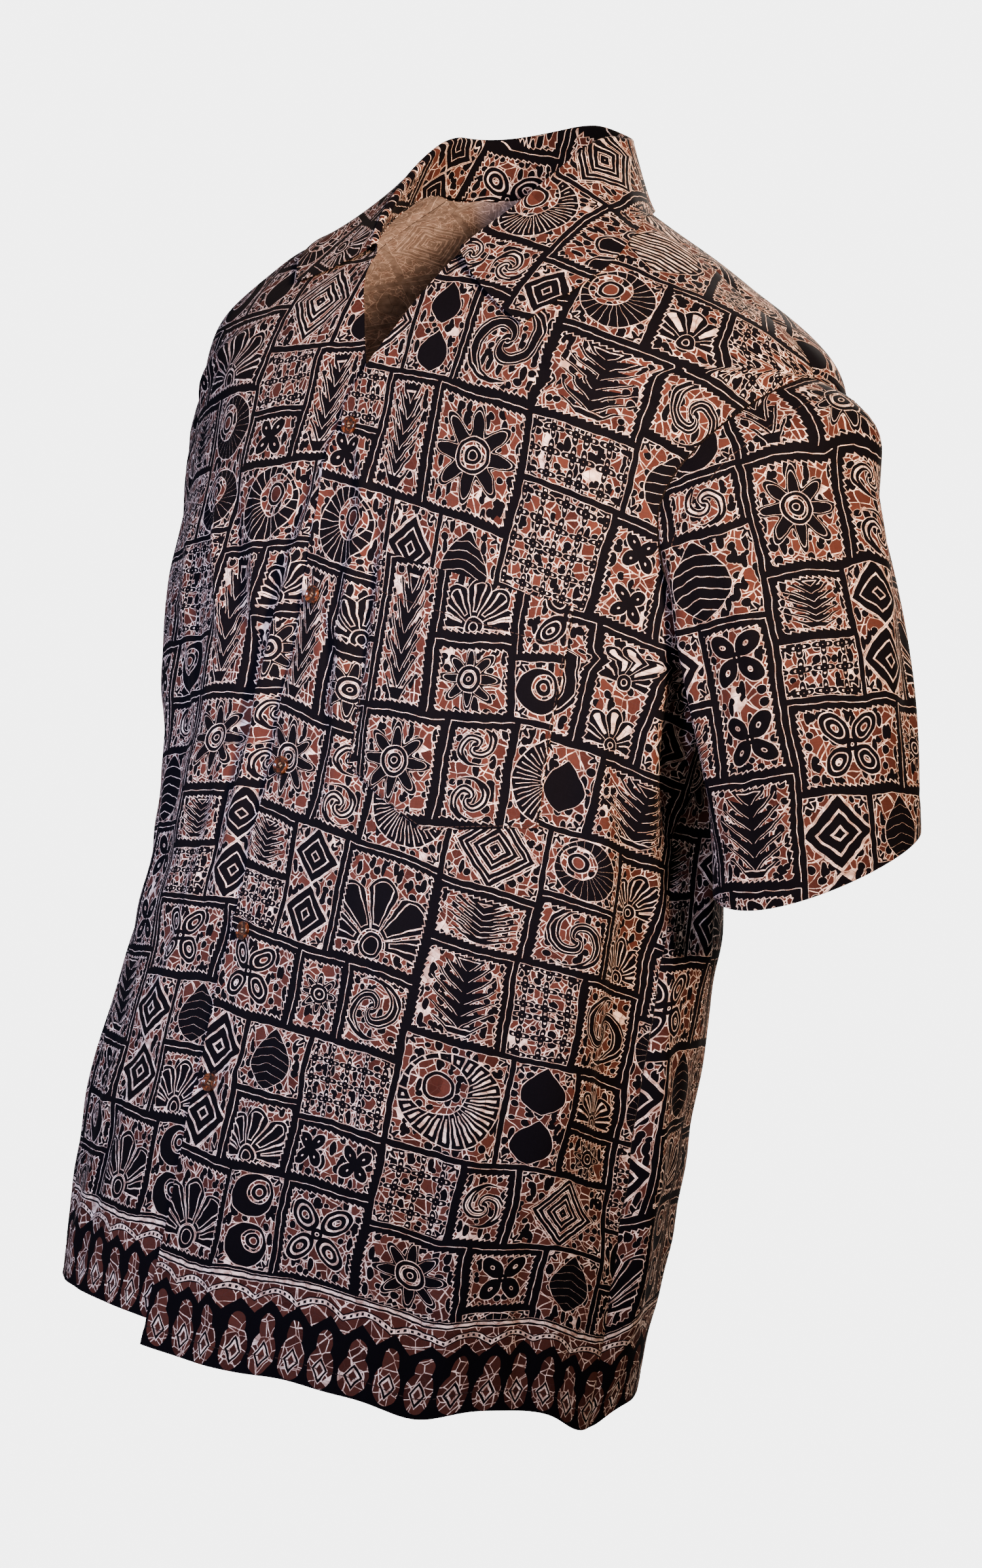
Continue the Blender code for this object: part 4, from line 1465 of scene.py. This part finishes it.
for k in range(4):
    turn = pi / 4 + k * pi / 2
    place = (HOLE_SPACING * cos(turn), HOLE_SPACING * sin(turn), 0)
    bpy.ops.mesh.primitive_cylinder_add(vertices=16, radius=HOLE_RADIUS, depth=0.01, location=place)
    drill = bpy.context.active_object
    only(button)
    hole = button.modifiers.new("hole", "BOOLEAN")
    hole.operation, hole.object = "DIFFERENCE", drill
    bpy.ops.object.modifier_apply(modifier="hole")
    bpy.data.objects.remove(drill)
only(button)
bpy.ops.object.shade_smooth_by_angle(angle=radians(30))

curve = bpy.data.curves.new("button_thread", "CURVE")
curve.dimensions, curve.bevel_depth, curve.bevel_resolution = "3D", 0.00028, 2
for side in (-1, 1):
    for strand in (-0.00022, 0.00022):
        bar = curve.splines.new("POLY")
        arch = ((-1.0, 0.2), (-0.85, 0.66), (-0.3, 0.80), (0.3, 0.80), (0.85, 0.66), (1.0, 0.2))
        bar.points.add(len(arch) - 1)
        for point, (across, high) in zip(bar.points, arch):
            half = HOLE_SPACING * sin(pi / 4)
            point.co = (half * across, half * side + strand, BUTTON_THICKNESS * high, 1)
thread = bpy.data.objects.new("button_thread", curve)
bpy.context.scene.collection.objects.link(thread)
only(thread)
bpy.ops.object.convert(target="MESH")
thread = bpy.context.active_object

buttons, threads = [], []
for k, height in enumerate(BUTTON_HEIGHTS):
    section = section_at(np.zeros(1), np.array([height]))[0]
    seat = Vector(body(0.0, section, BUTTON_STAND_OFF))
    normal = Vector(surface_and_normal(body, 0.0, section)[1])
    across = Vector((0, 0, 1)).cross(normal).normalized()
    upright = Matrix((across, normal.cross(across), normal)).transposed().to_4x4()
    spin = Matrix.Rotation(radians(BUTTON_TURNS[k]), 4, "Z")
    for made, group, name in ((button, buttons, "button_turned"), (thread, threads, "button_thread")):
        copy = made.copy()
        copy.data = made.data.copy()
        copy.name = f"{name}_{k + 1}"
        copy.data.transform(Matrix.Translation(seat) @ upright @ spin)
        bpy.context.scene.collection.objects.link(copy)
        group.append(copy)
bpy.data.objects.remove(button)
bpy.data.objects.remove(thread)

curve = bpy.data.curves.new("buttonhole_thread", "CURVE")
curve.dimensions, curve.bevel_depth, curve.bevel_resolution = "3D", 0.00017, 0
for height in BUTTON_HEIGHTS:
    lip = np.arange(-BUTTONHOLE / 2, BUTTONHOLE / 2, BUTTONHOLE_PITCH)
    outer_edge = np.where(np.arange(len(lip)) % 2, 0.0013, 0.0003)
    tack = BUTTONHOLE / 2 + np.arange(6) * 0.00016
    wide = np.where(np.arange(6) % 2, 0.0014, -0.0014)
    sides = np.concatenate([outer_edge, wide, -outer_edge, wide])
    ups = np.concatenate([lip, tack, lip[::-1], -tack])
    section = section_at(np.zeros(1), np.array([height]))[0]
    a_turn = np.linalg.norm(body(0.01, section) - body(-0.01, section)) / 0.02
    zigzag = body(sides / a_turn, section_at(sides / a_turn, height + ups), 0.0001)
    sewn = curve.splines.new("POLY")
    sewn.points.add(len(ups) - 1)
    sewn.points.foreach_set("co", np.column_stack([zigzag, np.ones(len(ups))]).ravel())
buttonholes = bpy.data.objects.new("buttonhole_stitches", curve)
bpy.context.scene.collection.objects.link(buttonholes)
only(buttonholes)
bpy.ops.object.convert(target="MESH")
buttonholes = bpy.context.active_object
print("The buttonholes have", len(buttonholes.data.polygons), "faces")
print(len(buttons), "buttons with", len(buttons[0].data.polygons), "faces each")

# %% [markdown]
# ### Their materials
#
# Polyester buttons are cast in layers, so the brown and the amber swim through each other as in horn, 2 to 4
# mm wide. Light goes a little way into them, and their surface is polished. The thread is matt cotton.

# %% Amber polyester and cotton thread
amber = bpy.data.materials.new("amber_polyester")
amber.use_nodes = True
tree = amber.node_tree
spot = add(tree, "ShaderNodeTexCoord").outputs["Object"]
swirl = add(tree, "ShaderNodeTexNoise", {"Vector": spot, "Scale": 210.0, "Detail": 3.0, "Distortion": 1.6})
AMBER = ((0.36, "#120805"), (0.50, "#30150b"), (0.62, "#582f16"), (0.74, "#4e3a2d"))
amber_stops = [(place, linear(colour)) for place, colour in AMBER]
layers = add(tree, "ShaderNodeValToRGB", {0: swirl.outputs[0]}, stops=amber_stops)
shader = tree.nodes["Principled BSDF"]
tree.links.new(layers.outputs[0], shader.inputs["Base Color"])
POLISH = {"Roughness": 0.16, "Subsurface Weight": 0.1, "Coat Weight": 0.5, "Coat Roughness": 0.06}
for name, value in {**POLISH, "Subsurface Radius": (0.002, 0.001, 0.0004)}.items():
    shader.inputs[name].default_value = value


def cotton_thread(name, colour):
    """Matt twisted thread: its twist is a fine band of darker and lighter cotton."""
    material = bpy.data.materials.new(name)
    material.use_nodes = True
    tree = material.node_tree
    shader = tree.nodes["Principled BSDF"]
    spot = add(tree, "ShaderNodeTexCoord").outputs["Object"]
    twist = add(tree, "ShaderNodeTexNoise", {"Vector": spot, "Scale": 1500.0, "Detail": 1.0})
    dark = tuple(0.6 * part for part in linear(colour)[:3])
    tone = add(tree, "ShaderNodeMix", {0: twist.outputs[0], 6: (*dark, 1), 7: linear(colour)}, data_type="RGBA")
    tree.links.new(tone.outputs[2], shader.inputs["Base Color"])
    shader.inputs["Roughness"].default_value = 0.8
    shader.inputs["Specular IOR Level"].default_value = 0.2
    return material


pale_thread = cotton_thread("pale_cotton_thread", "#6e5a46")
dark_thread = cotton_thread("dark_cotton_thread", "#2a1c18")
for group, material in ((buttons, amber), (threads, pale_thread), ((sewing, buttonholes), dark_thread)):
    for piece in group:
        piece.data.materials.clear()
        piece.data.materials.append(material)
print("The buttons are", amber.name, "sewn on with", pale_thread.name)

# %% [markdown]
# ## Each piece takes its node's place
#
# Each cloth piece hides the CAD solid that it stands for and moves with the shirt's one body. So do the buttons,
# and the stitches move with it too.

# %% Places
for name, piece in pieces.items():
    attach(piece, "root")
    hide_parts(name)
    mesh = piece.data
for k, (piece, bars) in enumerate(zip(buttons, threads)):
    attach(piece, "root")
    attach(bars, "root")
    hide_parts(f"button_{k + 1}")
for piece in (sewing, buttonholes):
    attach(piece, "root")

# %% [markdown]
# ## The floor and the light
#
# The floor is a plain pale disc at the height that it has below a wearer, and what lies past it is plain
# white. A world that lit the shirt as brightly as it looks would fill every fold, so the world is white where
# it is seen and far weaker where it lights. A small warm light stands high on the camera's right and skims
# over the folds, a cool one in front fills them weakly, and a wide one behind lights the back. The two in
# front are narrowed with their spread, as with a grid, so that they fall off towards the hem.

# %% Floor, world and lights
FLOOR_LEVEL, FLOOR_RADIUS = -1.45, 1.5
bpy.ops.mesh.primitive_circle_add(
    vertices=96, radius=FLOOR_RADIUS, fill_type="NGON", location=(0, 0, FLOOR_LEVEL)
)  # fmt: skip
floor = bpy.context.active_object
floor.name = "studio_floor"
floor_paint = bpy.data.materials.new("pale_floor_paint")
floor_paint.use_nodes = True
shader = floor_paint.node_tree.nodes["Principled BSDF"]
shader.inputs["Base Color"].default_value = linear("#e9e7e4")
shader.inputs["Roughness"].default_value = 0.9
floor.data.materials.append(floor_paint)
world = bpy.data.worlds.new("studio_world")
world.use_nodes = True
tree = world.node_tree
lighting = tree.nodes["Background"]
lighting.inputs[0].default_value, lighting.inputs[1].default_value = (0.93, 0.95, 1.0, 1), 0.18
seen = add(tree, "ShaderNodeBackground", {0: (1.0, 1.0, 1.0, 1), 1: 5.0})
to_camera = add(tree, "ShaderNodeLightPath").outputs["Is Camera Ray"]
choice = add(tree, "ShaderNodeMixShader", {0: to_camera, 1: lighting.outputs[0], 2: seen.outputs[0]})
tree.links.new(choice.outputs[0], tree.nodes["World Output"].inputs[0])
bpy.context.scene.world = world
LIGHTS = (
    ("key_light", (1.72, -0.80, 0.28), (-0.04, -0.1, -0.20), 0.30, 34, 8.8, "#ffd8b6"),
    ("front_light", (0.30, -2.0, -0.05), (-0.04, -0.1, -0.42), 0.40, 32, 4.4, "#c8d0ff"),
    ("back_light", (-0.9, 2.4, 1.2), (0, 0, -0.3), 1.2, 180, 110, "#fff4ea"),
)
for name, place, target, size, spread, power, colour in LIGHTS:
    bpy.ops.object.light_add(type="AREA", location=place)
    lamp = bpy.context.active_object
    lamp.name = name
    lamp.data.energy, lamp.data.size, lamp.data.color = power, size, linear(colour)[:3]
    lamp.data.spread = radians(spread)
    lamp.rotation_euler = (Vector(place) - Vector(target)).to_track_quat("Z", "Y").to_euler()
print("The stage has a floor, a world and", len(LIGHTS), "lights")
